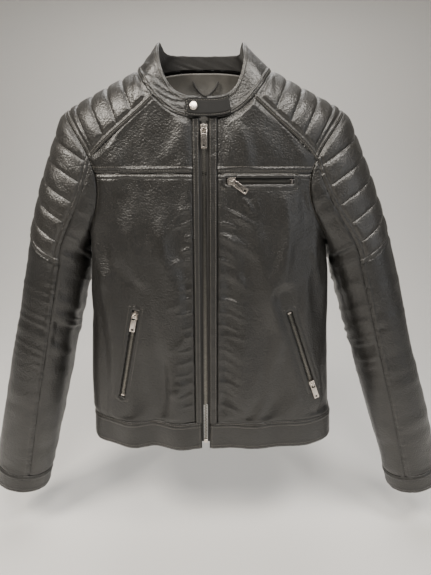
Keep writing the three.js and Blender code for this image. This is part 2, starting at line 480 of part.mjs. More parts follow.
// ---- sleeves ----
// angle 0 is the outer line, pi/2 the front and pi the line against the body; t is 0 at the armhole, 1 at the biceps and 2 at the cuff's edge
for (const side of sides) {
  const { name, sign: s, bicepsX, cuffX } = side;
  const start = new THREE.Vector3(bicepsX, 0, bicepsZ);
  const end = new THREE.Vector3(cuffX, 0, cuffZ);
  const axis = end.clone().sub(start).normalize();
  const out = new THREE.Vector3(-axis.z, 0, axis.x);
  const armhole = (a) => {
    const z = mix(-tipDrop, armpitZ, (1 - Math.cos(a)) / 2);
    const x = armholeX(z, name);
    const p = bodyPoint(s * x, Math.min(z, ridgeZ(x)), Math.sin(a) >= 0 ? -1 : 1);
    return new THREE.Vector3(x + sleeveStand, Math.abs(Math.sin(a)) < 1e-6 ? 0 : p.y, z);
  };
  const section = (a, t) => {
    const [w, d] = [0, 1].map((k) => (t < 0.5 ? mix(bicepsHalf[k], elbowHalf[k], smooth(t * 2)) : mix(elbowHalf[k], cuffHalf[k], smooth(t * 2 - 1))));
    return start.clone().lerp(end, t).addScaledVector(out, w * Math.cos(a)).add(new THREE.Vector3(0, -d * Math.sin(a), 0));
  };
  const face = (a, t) => {
    if (t >= 1) return section(a, t - 1);
    const p0 = armhole(a);
    const p1 = section(a, 0);
    const reach = p0.distanceTo(p1);
    const top = (1 + Math.cos(a)) / 2;
    const d0 = new THREE.Vector3(axis.x + mix(0.05, 0.16, top), -0.1 * Math.sin(a), -0.9).setLength(reach);
    const h = [2 * t ** 3 - 3 * t ** 2 + 1, t ** 3 - 2 * t ** 2 + t, -2 * t ** 3 + 3 * t ** 2, t ** 3 - t ** 2];
    return p0.multiplyScalar(h[0]).addScaledVector(d0, h[1]).addScaledVector(p1, h[2]).addScaledVector(axis, h[3] * reach);
  };
  const sleeveAt = (a, t, depth = 0) => {
    const point = face(a, t);
    const around = face(a + 0.02, t).sub(face(a - 0.02, t));
    const along = face(a, t + 0.01).sub(face(a, Math.max(0, t - 0.01)));
    const normal = around.cross(along).normalize();
    point.addScaledVector(normal, -depth);
    for (const v of [point, normal]) v.x *= s;
    return { point, normal };
  };
  const seamAt = (t) => (t < 1 ? mix(seamAngle[0], seamAngle[1], t) : mix(seamAngle[1], seamAngle[2], t - 1));
  const cuffT = 2 - cuffBand / start.distanceTo(end);
  const padT = (u) => padEnd + padChevron * Math.abs(2 * u - 1);
  const across = (u, t) => mix(seamAt(t), -seamAt(t), u);
  // a grid that faces out on the left is turned round on the right
  const cloth = (at, nu, nv, thick, options) => plate(onSide(side, at), nu, nv, thick, options);
  add(`${name}_sleeve_pad`, cloth((u, v) => sleeveAt(across(u, padT(u) * (1 - v)), padT(u) * (1 - v)), 10, 7, leather), padLeather);
  const lower = (u, v) => mix(cuffT, padT(u), v);
  add(`${name}_outer_sleeve`, cloth((u, v) => sleeveAt(across(u, lower(u, v)), lower(u, v)), 10, 7, leather), shellLeather);
  const under = (v) => (v < 0.5 ? mix(cuffT, padT(0), v * 2) : padT(0) * (2 - v * 2));
  add(`${name}_under_sleeve`, cloth((u, v) => sleeveAt(mix(2 * Math.PI - seamAt(under(v)), seamAt(under(v)), u), under(v)), 8, 14, leather), shellLeather);
  add(`${name}_cuff`, cloth((u, v) => sleeveAt(-2 * Math.PI * u, mix(2, cuffT, v)), 18, 1, leather + 0.6, { closedU: true }), shellLeather);
  add(`${name}_sleeve_lining`, cloth((u, v) => sleeveAt(-2 * Math.PI * u, mix(1.94, 0.14, v), sleeveLiningDepth), 16, 8, liningCloth, { closedU: true }), liningSatin);
}

export default jacket;
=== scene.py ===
import math

import bmesh
import bpy
import numpy as np
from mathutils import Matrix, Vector


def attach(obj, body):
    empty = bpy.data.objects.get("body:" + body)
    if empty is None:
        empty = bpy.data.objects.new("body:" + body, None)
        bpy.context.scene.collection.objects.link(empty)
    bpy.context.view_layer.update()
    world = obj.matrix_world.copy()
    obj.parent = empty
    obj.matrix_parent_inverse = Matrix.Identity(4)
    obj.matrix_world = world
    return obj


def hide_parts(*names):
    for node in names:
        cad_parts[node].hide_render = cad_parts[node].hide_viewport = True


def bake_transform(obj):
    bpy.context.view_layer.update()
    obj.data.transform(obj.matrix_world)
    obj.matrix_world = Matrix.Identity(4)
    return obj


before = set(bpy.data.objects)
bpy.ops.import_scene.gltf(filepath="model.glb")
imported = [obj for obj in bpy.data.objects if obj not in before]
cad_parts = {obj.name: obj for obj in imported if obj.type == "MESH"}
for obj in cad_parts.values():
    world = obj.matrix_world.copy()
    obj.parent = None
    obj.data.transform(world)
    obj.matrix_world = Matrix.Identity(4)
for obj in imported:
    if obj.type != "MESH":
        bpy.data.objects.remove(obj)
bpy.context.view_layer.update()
mm = 0.001
sideSign = {"right": -1, "left": 1}  # the wearer's sides

camera = {"place": (0.017, -0.75, -0.15), "pitch": 15, "lens": 27.05}
cameraData = bpy.data.cameras.new("camera")
cameraData.lens = camera["lens"]
cameraData.sensor_width = 36
cameraObject = bpy.data.objects.new("camera", cameraData)
cameraObject.location = camera["place"]
cameraObject.rotation_euler = (math.radians(90 - camera["pitch"]), 0, 0)
bpy.context.scene.collection.objects.link(cameraObject)
bpy.context.scene.camera = cameraObject

# The jacket's form, in millimetres, as the CAD has it.
form = {
    "hemZ": -628, "hemBand": 52, "frontDepth": 80, "backDepth": 74, "roundness": 3.2, "shoulderHalf": 240,
    "chestZ": -190, "chestHalf": {"right": 196, "left": 202}, "hemHalf": {"right": 212, "left": 236}, "neckHalf": 103,
    "neckDrop": 74, "neckBackRise": 18, "tipX": 222, "tipDrop": 58, "ridgeCrown": 55, "ridgeRound": 75,
    "armpitZ": -262, "armholeHollow": {"right": 42, "left": 50}, "notchZ": -132, "padNeckX": 72, "yokeZ": -152,
    "bicepsX": {"right": 253, "left": 268}, "cuffX": {"right": 374, "left": 418}, "bicepsZ": -292, "cuffZ": -748,
    "cuffBand": 38, "bicepsHalf": (52, 62), "elbowHalf": (51, 58), "cuffHalf": (50, 42),
    "seamAngle": (1.29, 1.85, 2.05), "padEnd": 0.86, "padChevron": 0.13, "sleeveStand": 0.8, "collarFront": 30,
    "collarSide": 15, "collarBack": 21, "collarLean": {"right": 0.66, "left": 0.56}, "collarGap": 4,
    "collarFoot": 0.2, "placketInner": 6.6, "placketOuter": {"right": 17.5, "left": 20}, "leather": 2.0
}
f = form


def mix(a, b, t):
    return a + (b - a) * t


def smooth(t):
    t = np.clip(t, 0, 1)
    return t * t * (3 - 2 * t)


def halfWidthOf(z, side):
    chest, hem = f["chestHalf"][side], f["hemHalf"][side]
    upper = mix(f["shoulderHalf"], chest, smooth((-f["tipDrop"] - z) / (-f["tipDrop"] - f["chestZ"])))
    lower = mix(chest, hem, (f["chestZ"] - z) / (f["chestZ"] - f["hemZ"]))
    return np.where(z > -f["tipDrop"], f["shoulderHalf"], np.where(z > f["chestZ"], upper, lower))


def halfWidth(x, z):
    return np.where(x < 0, halfWidthOf(z, "right"), halfWidthOf(z, "left"))


def ridgeZ(x):
    x = np.abs(x)
    slope = f["tipDrop"] / (f["tipX"] - f["neckHalf"])
    crown = f["ridgeCrown"] * (1 - (np.minimum(x, f["neckHalf"]) / f["neckHalf"]) ** 2.5)
    return np.where(x > f["neckHalf"], -slope * (x - f["neckHalf"]), crown)


def ridgeShare(x, z):
    d = np.clip((ridgeZ(x) - z) / f["ridgeRound"], 0, 1)
    return (1 - (1 - d) ** 2.2) ** (1 / 2.2)


def bodyPoint(x, z, face):
    n = f["roundness"]
    share = np.clip(np.abs(x) / halfWidth(x, z), 0, 1)
    depth = np.where(face < 0, f["frontDepth"], f["backDepth"]) * (1 - share**n) ** (1 / n)
    return np.stack(np.broadcast_arrays(x, face * depth * ridgeShare(x, z), z), -1)


def outside(x, y, z):
    n = f["roundness"]
    share = np.minimum(1.2, np.abs(x) / halfWidth(x, z))
    depth = np.where(y < 0, f["frontDepth"], f["backDepth"])
    return (np.abs(y) / depth) ** n - (1 - share**n) * ridgeShare(x, z) ** n


def unit(v):
    return v / np.maximum(np.linalg.norm(v, axis=-1, keepdims=True), 1e-9)


def bodyAt(x, z, face, depth=0.0):
    p = bodyPoint(x, z, face)
    h = 0.4
    x, y, z = (p[..., i] for i in range(3))
    steps = ((h, 0, 0), (0, h, 0), (0, 0, h))
    slope = [outside(x + a, y + b, z + c) - outside(x - a, y - b, z - c) for a, b, c in steps]
    normal = unit(np.stack(slope, -1))
    return p - normal * depth, normal


def xAtTurn(turn, z, side):
    return halfWidthOf(z, side) * np.sin(turn * math.pi / 2) ** (2 / f["roundness"])


def turnAtX(x, z, side):
    return np.arcsin(np.clip(np.abs(x) / halfWidthOf(z, side), 0, 1) ** (f["roundness"] / 2)) * 2 / math.pi


def armholeX(z, side):
    q = np.clip((-f["tipDrop"] - z) / (-f["tipDrop"] - f["armpitZ"]), 0, 1)
    return (
        mix(f["tipX"], halfWidthOf(np.float64(f["armpitZ"]), side), q)
        - f["armholeHollow"][side] * np.sin(math.pi * q)
    )


def notchX(side):
    return armholeX(np.float64(f["notchZ"]), side)


def neckZ(x, face):
    rise = np.where(face < 0, -f["neckDrop"], f["neckBackRise"])
    return rise * np.cos(math.pi / 2 * np.clip(np.abs(x) / f["neckHalf"], 0, 1) ** 1.5)


def edgeTurn(z, side, back=0.0):
    return np.where(z > f["armpitZ"], turnAtX(armholeX(z, side) - back, z, side), 1.0)


def padLine(x, side, face=-1):
    x1 = notchX(side)
    return mix(neckZ(f["padNeckX"], face), f["notchZ"], np.clip((x - f["padNeckX"]) / (x1 - f["padNeckX"]), 0, 1))


neckShare = 0.4  # share of a yoke's columns below the neck


def yokeX(u, x0, x1):
    return np.where(
        u < neckShare, mix(x0, f["padNeckX"], u / neckShare),
        mix(f["padNeckX"], x1, (u - neckShare) / (1 - neckShare))
    )


def neckLoop(angle):
    x = f["neckHalf"] * np.sin(angle)
    face = np.where(np.cos(angle) >= 0, -1, 1)
    return bodyPoint(x, np.minimum(neckZ(x, face), ridgeZ(x)), face)


def collarFace(angle, share):
    p = neckLoop(angle)
    height = (
        mix(f["collarFront"], f["collarBack"], (1 - np.cos(angle)) / 2)
        + f["collarSide"] * np.abs(np.sin(angle)) ** np.where(np.cos(angle) > 0, 4, 2.8)
    )
    lean = mix(
        1, np.where(np.sin(angle) < 0, f["collarLean"]["right"], f["collarLean"]["left"]),
        share * np.abs(np.sin(angle)) ** 1.5
    )
    return np.stack(
        [p[..., 0] * lean, p[..., 1] * mix(1, 0.92, share), p[..., 2] + f["collarFoot"] + height * share], -1
    )


def collarAt(angle, share, stand=0.0):
    around = collarFace(angle + 0.02, share) - collarFace(angle - 0.02, share)
    up = collarFace(angle, share + 0.05) - collarFace(angle, share - 0.05)
    normal = unit(np.cross(around, up))
    return collarFace(angle, share) + normal * np.asarray(stand)[..., None], normal


def sleeveFace(a, t, side):
    start = np.array([f["bicepsX"][side], 0, f["bicepsZ"]], float)
    end = np.array([f["cuffX"][side], 0, f["cuffZ"]], float)
    axis = (end - start) / np.linalg.norm(end - start)
    out = np.array([-axis[2], 0, axis[0]])

    def section(k):
        rings = zip(f["bicepsHalf"], f["elbowHalf"], f["cuffHalf"])
        wide, deep = (np.where(k < 0.5, mix(b, e, smooth(k * 2)), mix(e, c, smooth(k * 2 - 1))) for b, e, c in rings)
        point = start + (end - start) * k[..., None] + out * (wide * np.cos(a))[..., None]
        return point + np.array([0, -1, 0]) * (deep * np.sin(a))[..., None]

    a, t = np.broadcast_arrays(np.asarray(a, float), np.asarray(t, float))
    low = section(np.maximum(t - 1, 0))
    z = mix(-f["tipDrop"], f["armpitZ"], (1 - np.cos(a)) / 2)
    x = armholeX(z, side)
    p0 = bodyPoint(sideSign[side] * x, np.minimum(z, ridgeZ(x)), np.where(np.sin(a) >= 0, -1, 1))
    y = np.where(np.abs(np.sin(a)) < 1e-6, 0, p0[..., 1])
    p0 = np.stack([x + f["sleeveStand"], y, z], -1)
    p1 = section(np.zeros_like(a))
    reach = np.linalg.norm(p1 - p0, axis=-1)[..., None]
    top = (1 + np.cos(a)) / 2
    d0 = unit(np.stack([axis[0] + mix(0.05, 0.16, top), -0.1 * np.sin(a), np.full_like(a, -0.9)], -1)) * reach
    k = np.clip(t, 0, 1)[..., None]
    high = (
        p0 * (2 * k**3 - 3 * k**2 + 1) + d0 * (k**3 - 2 * k**2 + k) + p1 * (-2 * k**3 + 3 * k**2)
        + axis * (k**3 - k**2) * reach
    )
    return np.where((t >= 1)[..., None], low, high)


def sleeveAt(a, t, side, depth=0.0):
    point = sleeveFace(a, t, side)
    around = sleeveFace(a + 0.02, t, side) - sleeveFace(a - 0.02, t, side)
    along = sleeveFace(a, t + 0.01, side) - sleeveFace(a, np.maximum(0, t - 0.01), side)
    normal = unit(np.cross(around, along))
    point = point - normal * depth
    flip = np.array([sideSign[side], 1, 1])
    return point * flip, normal * flip


def seamAt(t):
    a, b, c = f["seamAngle"]
    return np.where(t < 1, mix(a, b, t), mix(b, c, t - 1))


print("form ready")

# Soft random fields, from one seeded table.
table = np.random.default_rng(11).random((64, 64)) * 2 - 1


def softNoise(a, b, shift=0.0):
    a, b = a + shift * 7.31, b + shift * 3.17
    i, j = np.floor(a).astype(int), np.floor(b).astype(int)
    s, t = smooth(a - i), smooth(b - j)
    at = lambda p, q: table[p % 64, q % 64]
    return mix(mix(at(i, j), at(i + 1, j), s), mix(at(i, j + 1), at(i + 1, j + 1), s), t)


# Distance along a line, distance off it, and its length.
def alongLine(p, q, start, end):
    dx, dz = end[0] - start[0], end[1] - start[1]
    long = math.hypot(dx, dz)
    p, q = p - start[0], q - start[1]
    return (p * dx + q * dz) / long, (p * dz - q * dx) / long, long


# A soft ridge from one place to another, in the plane of p and q.
def fold(p, q, x0, z0, x1, z1, width, height):
    s, off, long = alongLine(p, q, (x0, z0), (x1, z1))
    off = off + 0.06 * long * np.sin(math.pi * np.clip(s / long, 0, 1))
    ends = smooth((s + 0.25 * long) / (0.6 * long)) * smooth((1.25 * long - s) / (0.6 * long))
    return height * ends * np.exp(-((off / width) ** 2))


# A shader node unless its kind says otherwise: settings, values and links from other nodes in one call.
def node(tree, kind, *inputs, **values):
    made = tree.nodes.new(kind if "Node" in kind else f"ShaderNode{kind}")
    for key, value in [*enumerate(inputs), *values.items()]:
        if isinstance(key, str) and hasattr(made, key):
            setattr(made, key, value)
            continue
        socket = made.inputs[key if isinstance(key, int) else key.replace("_", " ")]
        if isinstance(value, bpy.types.NodeSocket):
            tree.links.new(value, socket)
        else:
            socket.default_value = value
    return made


def nodeGroup(name, kind, inputs, outputs):
    tree = bpy.data.node_groups.new(name, kind)
    sort = "NodeSocketFloat"
    if kind == "GeometryNodeTree":
        tree.interface.new_socket("Geometry", in_out="INPUT", socket_type="NodeSocketGeometry")
    for socket, value in inputs.items():
        tree.interface.new_socket(socket, in_out="INPUT", socket_type=sort).default_value = value
    for socket in outputs:
        tree.interface.new_socket(
            socket, in_out="OUTPUT", socket_type="NodeSocketGeometry" if socket == "Geometry" else sort
        )
    return tree, node(tree, "NodeGroupInput").outputs, node(tree, "NodeGroupOutput").inputs


grainSize = {
    "warpScale": 260.0, "warp": 0.0015, "poreScale": 1500.0, "poreDepth": 0.25, "cloudScale": 26.0, "cloudShade": 0.7,
    "creaseScale": 95.0, "creaseFrom": 0.42, "creaseTo": 0.52, "wornFrom": 0.5, "wornTo": 0.62,
}


# Pebbled grain with creases: a share of colour, a share of gloss and a height.
def grainGroup():
    g = grainSize
    tree, given, out = nodeGroup(
        "leatherGrain", "ShaderNodeTree", {"Pebble Size": 0.0014, "Crease": 0.5, "Wear": 0.3},
        ("Shade", "Gloss", "Height")
    )
    place = node(tree, "TexCoord").outputs["Object"]
    scale = node(tree, "Math", 1.0, given["Pebble Size"], operation="DIVIDE")
    warp = node(tree, "TexNoise", Vector=place, Scale=g["warpScale"], Detail=2.0)
    bend = node(tree, "MixRGB", g["warp"], place, warp.outputs["Color"], blend_type="ADD")
    pebble = node(
        tree, "TexVoronoi", feature="SMOOTH_F1", Smoothness=0.6, Vector=bend.outputs[0], Scale=scale.outputs[0]
    )
    pores = node(tree, "TexNoise", Vector=place, Scale=g["poreScale"], Detail=3.0)
    cloud = node(tree, "TexNoise", Vector=place, Scale=g["cloudScale"], Detail=4.0, Roughness=0.6)
    crease = node(tree, "TexNoise", Vector=place, Scale=g["creaseScale"], Detail=5.0, Roughness=0.65, Distortion=1.2)
    ridge = node(tree, "MapRange", Value=crease.outputs["Fac"], From_Min=g["creaseFrom"], From_Max=g["creaseTo"])
    dome = node(tree, "Math", pebble.outputs["Distance"], -1.0, 1.0, operation="MULTIPLY_ADD")
    creased = node(tree, "Math", ridge.outputs[0], given["Crease"], dome.outputs[0], operation="MULTIPLY_ADD")
    height = node(tree, "Math", pores.outputs["Fac"], g["poreDepth"], creased.outputs[0], operation="MULTIPLY_ADD")
    shade = node(tree, "Math", cloud.outputs["Fac"], g["cloudShade"], dome.outputs[0], operation="MULTIPLY_ADD")
    edges = node(tree, "NewGeometry").outputs["Pointiness"]
    worn = node(tree, "MapRange", Value=edges, From_Min=g["wornFrom"], From_Max=g["wornTo"])
    rub = node(tree, "Math", worn.outputs[0], given["Wear"], operation="MULTIPLY")
    gloss = node(tree, "Math", cloud.outputs["Fac"], rub.outputs[0], operation="ADD")
    for name, source in (("Height", height), ("Shade", shade), ("Gloss", gloss)):
        tree.links.new(source.outputs[0], out[name])
    return tree


grain = grainGroup()


# Colour between dark and light, gloss and bump for one material; only colour, roughness and normal are linked.
def shaded(name, dark, light, build, **sockets):
    made = bpy.data.materials.new(name)
    made.use_nodes = True
    tree = made.node_tree
    shader = tree.nodes["Principled BSDF"]
    for key, value in sockets.items():
        shader.inputs[key.replace("_", " ")].default_value = value
    share, rough, height, bump, strength = build(tree)
    tint = node(tree, "Mix", data_type="RGBA")
    tint.inputs[6].default_value, tint.inputs[7].default_value = (*dark, 1), (*light, 1)
    tree.links.new(share, tint.inputs[0])
    tree.links.new(tint.outputs[2], shader.inputs["Base Color"])
    if rough:
        tree.links.new(rough, shader.inputs["Roughness"])
    relief = node(tree, "Bump", Strength=strength, Distance=bump, Height=height)
    tree.links.new(relief.outputs[0], shader.inputs["Normal"])
    return made


def leatherMaterial(name, dark, light, rough=(0.5, 0.34), pebble=0.0027, bump=0.0005, crease=0.12, gleam=0.7):
    def build(tree):
        group = node(tree, "Group", node_tree=grain, Pebble_Size=pebble, Crease=crease).outputs
        ramp = node(tree, "MapRange", Value=group["Shade"], From_Min=0.6, From_Max=1.5)
        polish = node(
            tree, "MapRange", Value=group["Gloss"], From_Min=0.3, From_Max=0.8, To_Min=rough[0], To_Max=rough[1]
        )
        return ramp.outputs[0], polish.outputs[0], group["Height"], bump, 1.0

    return shaded(name, dark, light, build, Specular_IOR_Level=gleam, Sheen_Weight=0.02, Sheen_Roughness=0.5)


def weaveMaterial(name, dark, light, rough, pitch, sheen=0.2):
    def build(tree):
        place = node(tree, "TexCoord").outputs["Object"]
        wave = node(tree, "TexWave", bands_direction="DIAGONAL", Vector=place, Scale=1 / pitch, Distortion=0.6)
        rib = wave.outputs["Fac"]
        cloud = node(tree, "TexNoise", Vector=place, Scale=40.0, Detail=4.0)
        both = node(tree, "Math", rib, 0.4, cloud.outputs["Fac"], operation="MULTIPLY_ADD")
        return both.outputs[0], None, rib, 0.0001, 0.6

    return shaded(name, dark, light, build, Roughness=rough, Sheen_Weight=sheen, Sheen_Roughness=0.4)


def metalMaterial(name, dark, light, rough):
    def build(tree):
        place = node(tree, "TexCoord").outputs["Object"]
        turn = node(tree, "Mapping", Vector=place, Scale=(1, 1, 0.08))
        brush = node(tree, "TexNoise", Vector=turn.outputs[0], Scale=4000.0, Detail=3.0).outputs["Fac"]
        cloud = node(tree, "TexNoise", Vector=place, Scale=300.0, Detail=4.0).outputs["Fac"]
        matt = node(
            tree, "MapRange", Value=brush, From_Min=0.3, From_Max=0.7, To_Min=rough * 0.75, To_Max=rough * 1.3
        )
        return cloud, matt.outputs[0], brush, 0.00005, 0.25

    return shaded(name, dark, light, build, Metallic=1)


finish = {
    "leather": leatherMaterial("blackLeather", (0.0045, 0.0043, 0.004), (0.015, 0.0136, 0.0115), rough=(0.46, 0.31)),
    # Painted light: the padded leather is coloured lighter than the body leather, standing in for the light that
    # falls on the shoulders and sleeve tops.
    "pad_leather": leatherMaterial(
        "paddedLeatherPaintedLight", (0.008, 0.0075, 0.0068), (0.025, 0.0228, 0.0196), rough=(0.47, 0.33)
    ),
    # Painted shade: the tab's leather is coloured darker than the body leather, standing in for the shadow the tab
    # lies in.
    "tab": leatherMaterial(
        "tabLeatherPaintedShade", (0.002, 0.002, 0.002), (0.0035, 0.0034, 0.0033), rough=(0.62, 0.5), pebble=0.001,
        bump=0.0001, crease=0.2, gleam=0.2
    ),
    "lining": weaveMaterial("greySatin", (0.035, 0.034, 0.031), (0.085, 0.081, 0.074), 0.4, 0.0011),
    "facing": weaveMaterial("blackFacing", (0.006, 0.006, 0.006), (0.014, 0.013, 0.012), 0.6, 0.0009),
    "cloth": weaveMaterial("blackCloth", (0.010, 0.010, 0.009), (0.022, 0.021, 0.020), 0.8, 0.0012),
    "zip_tape": weaveMaterial("wovenTape", (0.008, 0.008, 0.008), (0.02, 0.019, 0.018), 0.85, 0.0008),
    "zip_metal": metalMaterial("agedNickel", (0.09, 0.086, 0.078), (0.36, 0.345, 0.315), 0.34),
    "nickel": metalMaterial("brushedNickel", (0.50, 0.455, 0.41), (0.80, 0.73, 0.67), 0.24),
    # Painted highlight: the black thread is coloured much lighter than the leather, standing in for glints on the
    # puckered stitches.
    "thread": weaveMaterial("blackThreadPaintedHighlight", (0.04, 0.037, 0.033), (0.12, 0.112, 0.1), 0.38, 0.0006, sheen=0.05),
}
print("materials ready")

def placed(name, data):
    made = bpy.data.objects.new(name, data)
    bpy.context.scene.collection.objects.link(made)
    return made


def meshPiece(name, vertices, faces, material, body, slot, nodes=(), smoothShade=True):
    mesh = bpy.data.meshes.new(name)
    mesh.from_pydata((np.asarray(vertices) * mm).tolist(), [], faces)
    mesh.materials.append(finish[material])
    if smoothShade:
        mesh.shade_smooth()
    mesh.update()
    piece = placed(name, mesh)
    settle(piece, body, nodes)
    return piece


def settle(piece, body, nodes=()):
    if isinstance(body, str):
        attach(piece, body)
    else:
        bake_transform(piece)
    for n in nodes:
        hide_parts(n)


# Shares of a length, close together near both ends.
def graded(length, fine, coarse, zone):
    zone = min(zone, length / 3)
    n = max(2, round(zone / fine))
    m = max(2, round((length - 2 * zone) / coarse))
    ends = [np.linspace(0, zone, n, endpoint=False), np.linspace(length - zone, length, n + 1)]
    places = np.concatenate([ends[0], np.linspace(zone, length - zone, m, endpoint=False), ends[1]])
    return places / length


def runs(p, axis):
    step = np.linalg.norm(np.diff(p, axis=axis), axis=-1)
    total = np.cumsum(step, axis=axis)
    return np.concatenate([np.zeros_like(np.take(total, [0], axis=axis)), total], axis=axis)


# A grid of places on a form, with the distance of each from the sheet's four edges.
class Sheet:
    def __init__(self, at, coarse=2.4, fine=0.9, zone=12, loop=False):
        u, v = np.meshgrid(np.linspace(0, 1, 24), np.linspace(0, 1, 24), indexing="ij")
        p, _ = at(u, v)
        wide, tall = runs(p, 0)[-1].mean(), runs(p, 1)[:, -1].mean()
        us = np.linspace(0, 1, max(8, round(wide / coarse)) + 1) if loop else graded(wide, fine, coarse, zone)
        self.u, self.v = np.meshgrid(us, graded(tall, fine, coarse, zone), indexing="ij")
        self.p, self.n = at(self.u, self.v)
        self.loop = loop
        su, sv = runs(self.p, 0), runs(self.p, 1)
        self.su, self.sv = su, sv
        self.left, self.right = su, su[-1:] - su
        self.low, self.high = sv, sv[:, -1:] - sv
        if loop:
            self.left = self.right = np.full_like(su, 1e3)
        self.x, self.y, self.z = (self.p[..., i] for i in range(3))

    def push(self, height):
        self.p = self.p + self.n * np.asarray(height)[..., None]

    def faces(self, flip=False):
        nu, nv = self.u.shape
        last = nu - 1
        found = []
        for i in range(last):
            k = (i + 1) % last if self.loop else i + 1
            for j in range(nv - 1):
                q = (i * nv + j, k * nv + j, k * nv + j + 1, i * nv + j + 1)
                found.append(q[::-1] if flip else q)
        return found

    def vertices(self):
        p = self.p[:-1] if self.loop else self.p
        return p.reshape(-1, 3)

    # The points at a gap from one edge, lifted off the face by a little.
    def line(self, edge, gap):
        others = ("low", "high") if edge in ("left", "right") else ("left", "right")
        grids = [getattr(self, e) for e in (edge, *others)] + [self.p, self.n]
        away, near, far, p, n = grids if others[0] == "low" else (np.swapaxes(a, 0, 1) for a in grids)
        points = []
        for j in range(p.shape[1]):
            column = away[:, j]
            order = np.argsort(column)
            k = np.interp(gap, column[order], order.astype(float))
            i = int(min(p.shape[0] - 2, math.floor(k)))
            if near[i, j] < 2.5 or far[i, j] < 2.5:
                continue
            points.append(mix(p[i, j] + n[i, j] * 0.12, p[i + 1, j] + n[i + 1, j] * 0.12, k - i))
        return points


stitchLines = {}


def stitch(body, sheet, **rows):
    for edge, gaps in rows.items():
        for gap in gaps:
            points = sheet.line(edge, gap)
            if len(points) > 3:
                stitchLines.setdefault(body, []).append(points)


sides = ("left", "right")
allEdges = (*sides, "low", "high")


# Edges that turn in to their seams.
def rolled(sheet, drop=1.3, reach=2.6, edges=allEdges):
    total = 0
    for edge in edges:
        total = total - drop * np.exp(-((getattr(sheet, edge) / reach) ** 2))
    return total

seamRow = {"sink": 0.75, "width": 1.1, "ripple": 5.5}


# A raised, folded edge with sunk stitch rows and puckers across it.
def welt(sheet, edge, rows=(3, 9), lift=0.9, wide=11, seed=0.0, pucker=0.45):
    e = getattr(sheet, edge)
    s = sheet.sv if edge in ("left", "right") else sheet.su
    height = lift * smooth((wide - e) / 3)
    for r in rows:
        height = height - seamRow["sink"] * np.exp(-(((e - r) / seamRow["width"]) ** 2))
    ripple = softNoise(s / seamRow["ripple"], e / 14, seed) * pucker * np.exp(-((e / (wide * 0.9)) ** 2))
    return height + ripple


# Gives a sheet its wall behind the face.
def wrapped(name, sheet, thick, flip, **how):
    piece = meshPiece(name, sheet.vertices(), sheet.faces(flip), **how)
    wall = piece.modifiers.new("thickness", "SOLIDIFY")
    wall.thickness = thick * mm
    wall.offset = -1
    return piece


bodyName = "jacket_body"
thick = {"leather": f["leather"], "band": f["leather"] + 0.8}


# A leather piece that stands for the CAD piece of the same name.
def skin(name, sheet, height, flip, kind="leather", body=bodyName, thickness=thick["leather"]):
    sheet.push(height)
    return wrapped(f"{name}_skin", sheet, thickness, flip, material=kind, body=body, slot=kind, nodes=[name])


shoulderBend = {"start": (0.199, 0, -0.262), "end": (0.259, 0, -0.269)}


def sleeveBend(side):
    s = sideSign[side]
    a, b = shoulderBend["start"], shoulderBend["end"]
    return (bodyName, f"{side}_sleeve", (s * a[0], a[1], a[2]), (s * b[0], b[1], b[2]))


# Folds that hang in the body: from x, z to x, z, then width and height.
bodyFolds = {
    "right": [
        (-78, -200, -88, -470, 16, 2.6), (-126, -210, -118, -420, 15, 2.0), (-46, -300, -60, -560, 14, 1.6),
        (-165, -330, -150, -560, 16, 2.2), (-30, -190, -62, -250, 6, 0.9), (-26, -262, -55, -300, 6, 0.8),
        (-26, -345, -60, -365, 6, 0.8), (-27, -410, -58, -440, 7, 0.8), (-28, -500, -66, -520, 8, 1.0),
        (-150, -262, -172, -340, 10, 1.8), (-60, -560, -100, -585, 10, 1.4)
    ],
    "left": [
        (72, -215, 92, -420, 15, 2.8), (118, -230, 112, -480, 15, 2.4), (44, -260, 52, -520, 10, 1.6),
        (160, -300, 150, -480, 14, 2.0), (30, -215, 78, -232, 7, 1.1), (28, -250, 84, -280, 8, 1.3),
        (27, -300, 70, -335, 7, 1.1), (27, -352, 66, -378, 7, 1.0), (27, -420, 60, -452, 8, 1.0),
        (27, -500, 62, -530, 8, 1.1), (60, -190, 74, -214, 5, 1.3), (170, -262, 190, -330, 9, 1.8)
    ],
}
yokeFolds = {
    "right": [(-30, -90, -70, -140, 10, 1.2), (-110, -110, -150, -146, 10, 1.0)],
    "left": [
        (30, -88, 34, -146, 7, 1.6), (48, -82, 66, -140, 9, 1.8), (80, -88, 110, -140, 12, 1.2),
        (140, -120, 165, -148, 10, 1.0)
    ],
}
hemWaves = {
    "right": [(-40, 22, 6), (-86, 20, -8), (-128, 22, 5), (-172, 20, -3)],
    "left": [(50, 20, -2), (90, 24, 3), (134, 20, -2), (182, 22, 2)],
}


# Short folds that radiate from the zip.
def pulls(side):
    random = np.random.default_rng(5 if side == "left" else 9)
    found = []
    for z in np.arange(-205, -560, -21):
        slope = -mix(0.1, 0.62, random.random()) * (1 if side == "left" else 0.7)
        long = mix(16, 44, random.random()) * (1.1 if side == "left" else 0.8)
        x = 21 if side == "left" else 18
        k = sideSign[side]
        z0 = z + 5 * random.random()
        wide, tall = mix(2.6, 5, random.random()), mix(0.5, 1.0, random.random())
        found.append((k * x, z0, k * (x + long), z0 + slope * long, wide, tall))
    return found


# Waves that hang in the lower part and grow towards the hem.
def hemWave(sheet, side):
    grow = smooth((-330 - sheet.z) / 290) ** 1.3
    drift = 10 * softNoise(sheet.z / 120, sheet.z * 0, 77)
    return grow * sum(h * np.exp(-(((sheet.x + drift - x) / w) ** 2)) for x, w, h in hemWaves[side])

drape = {"folds": 1.8, "broad": 5.4, "middle": 1.7, "fine": 0.22, "bend": 0.9}


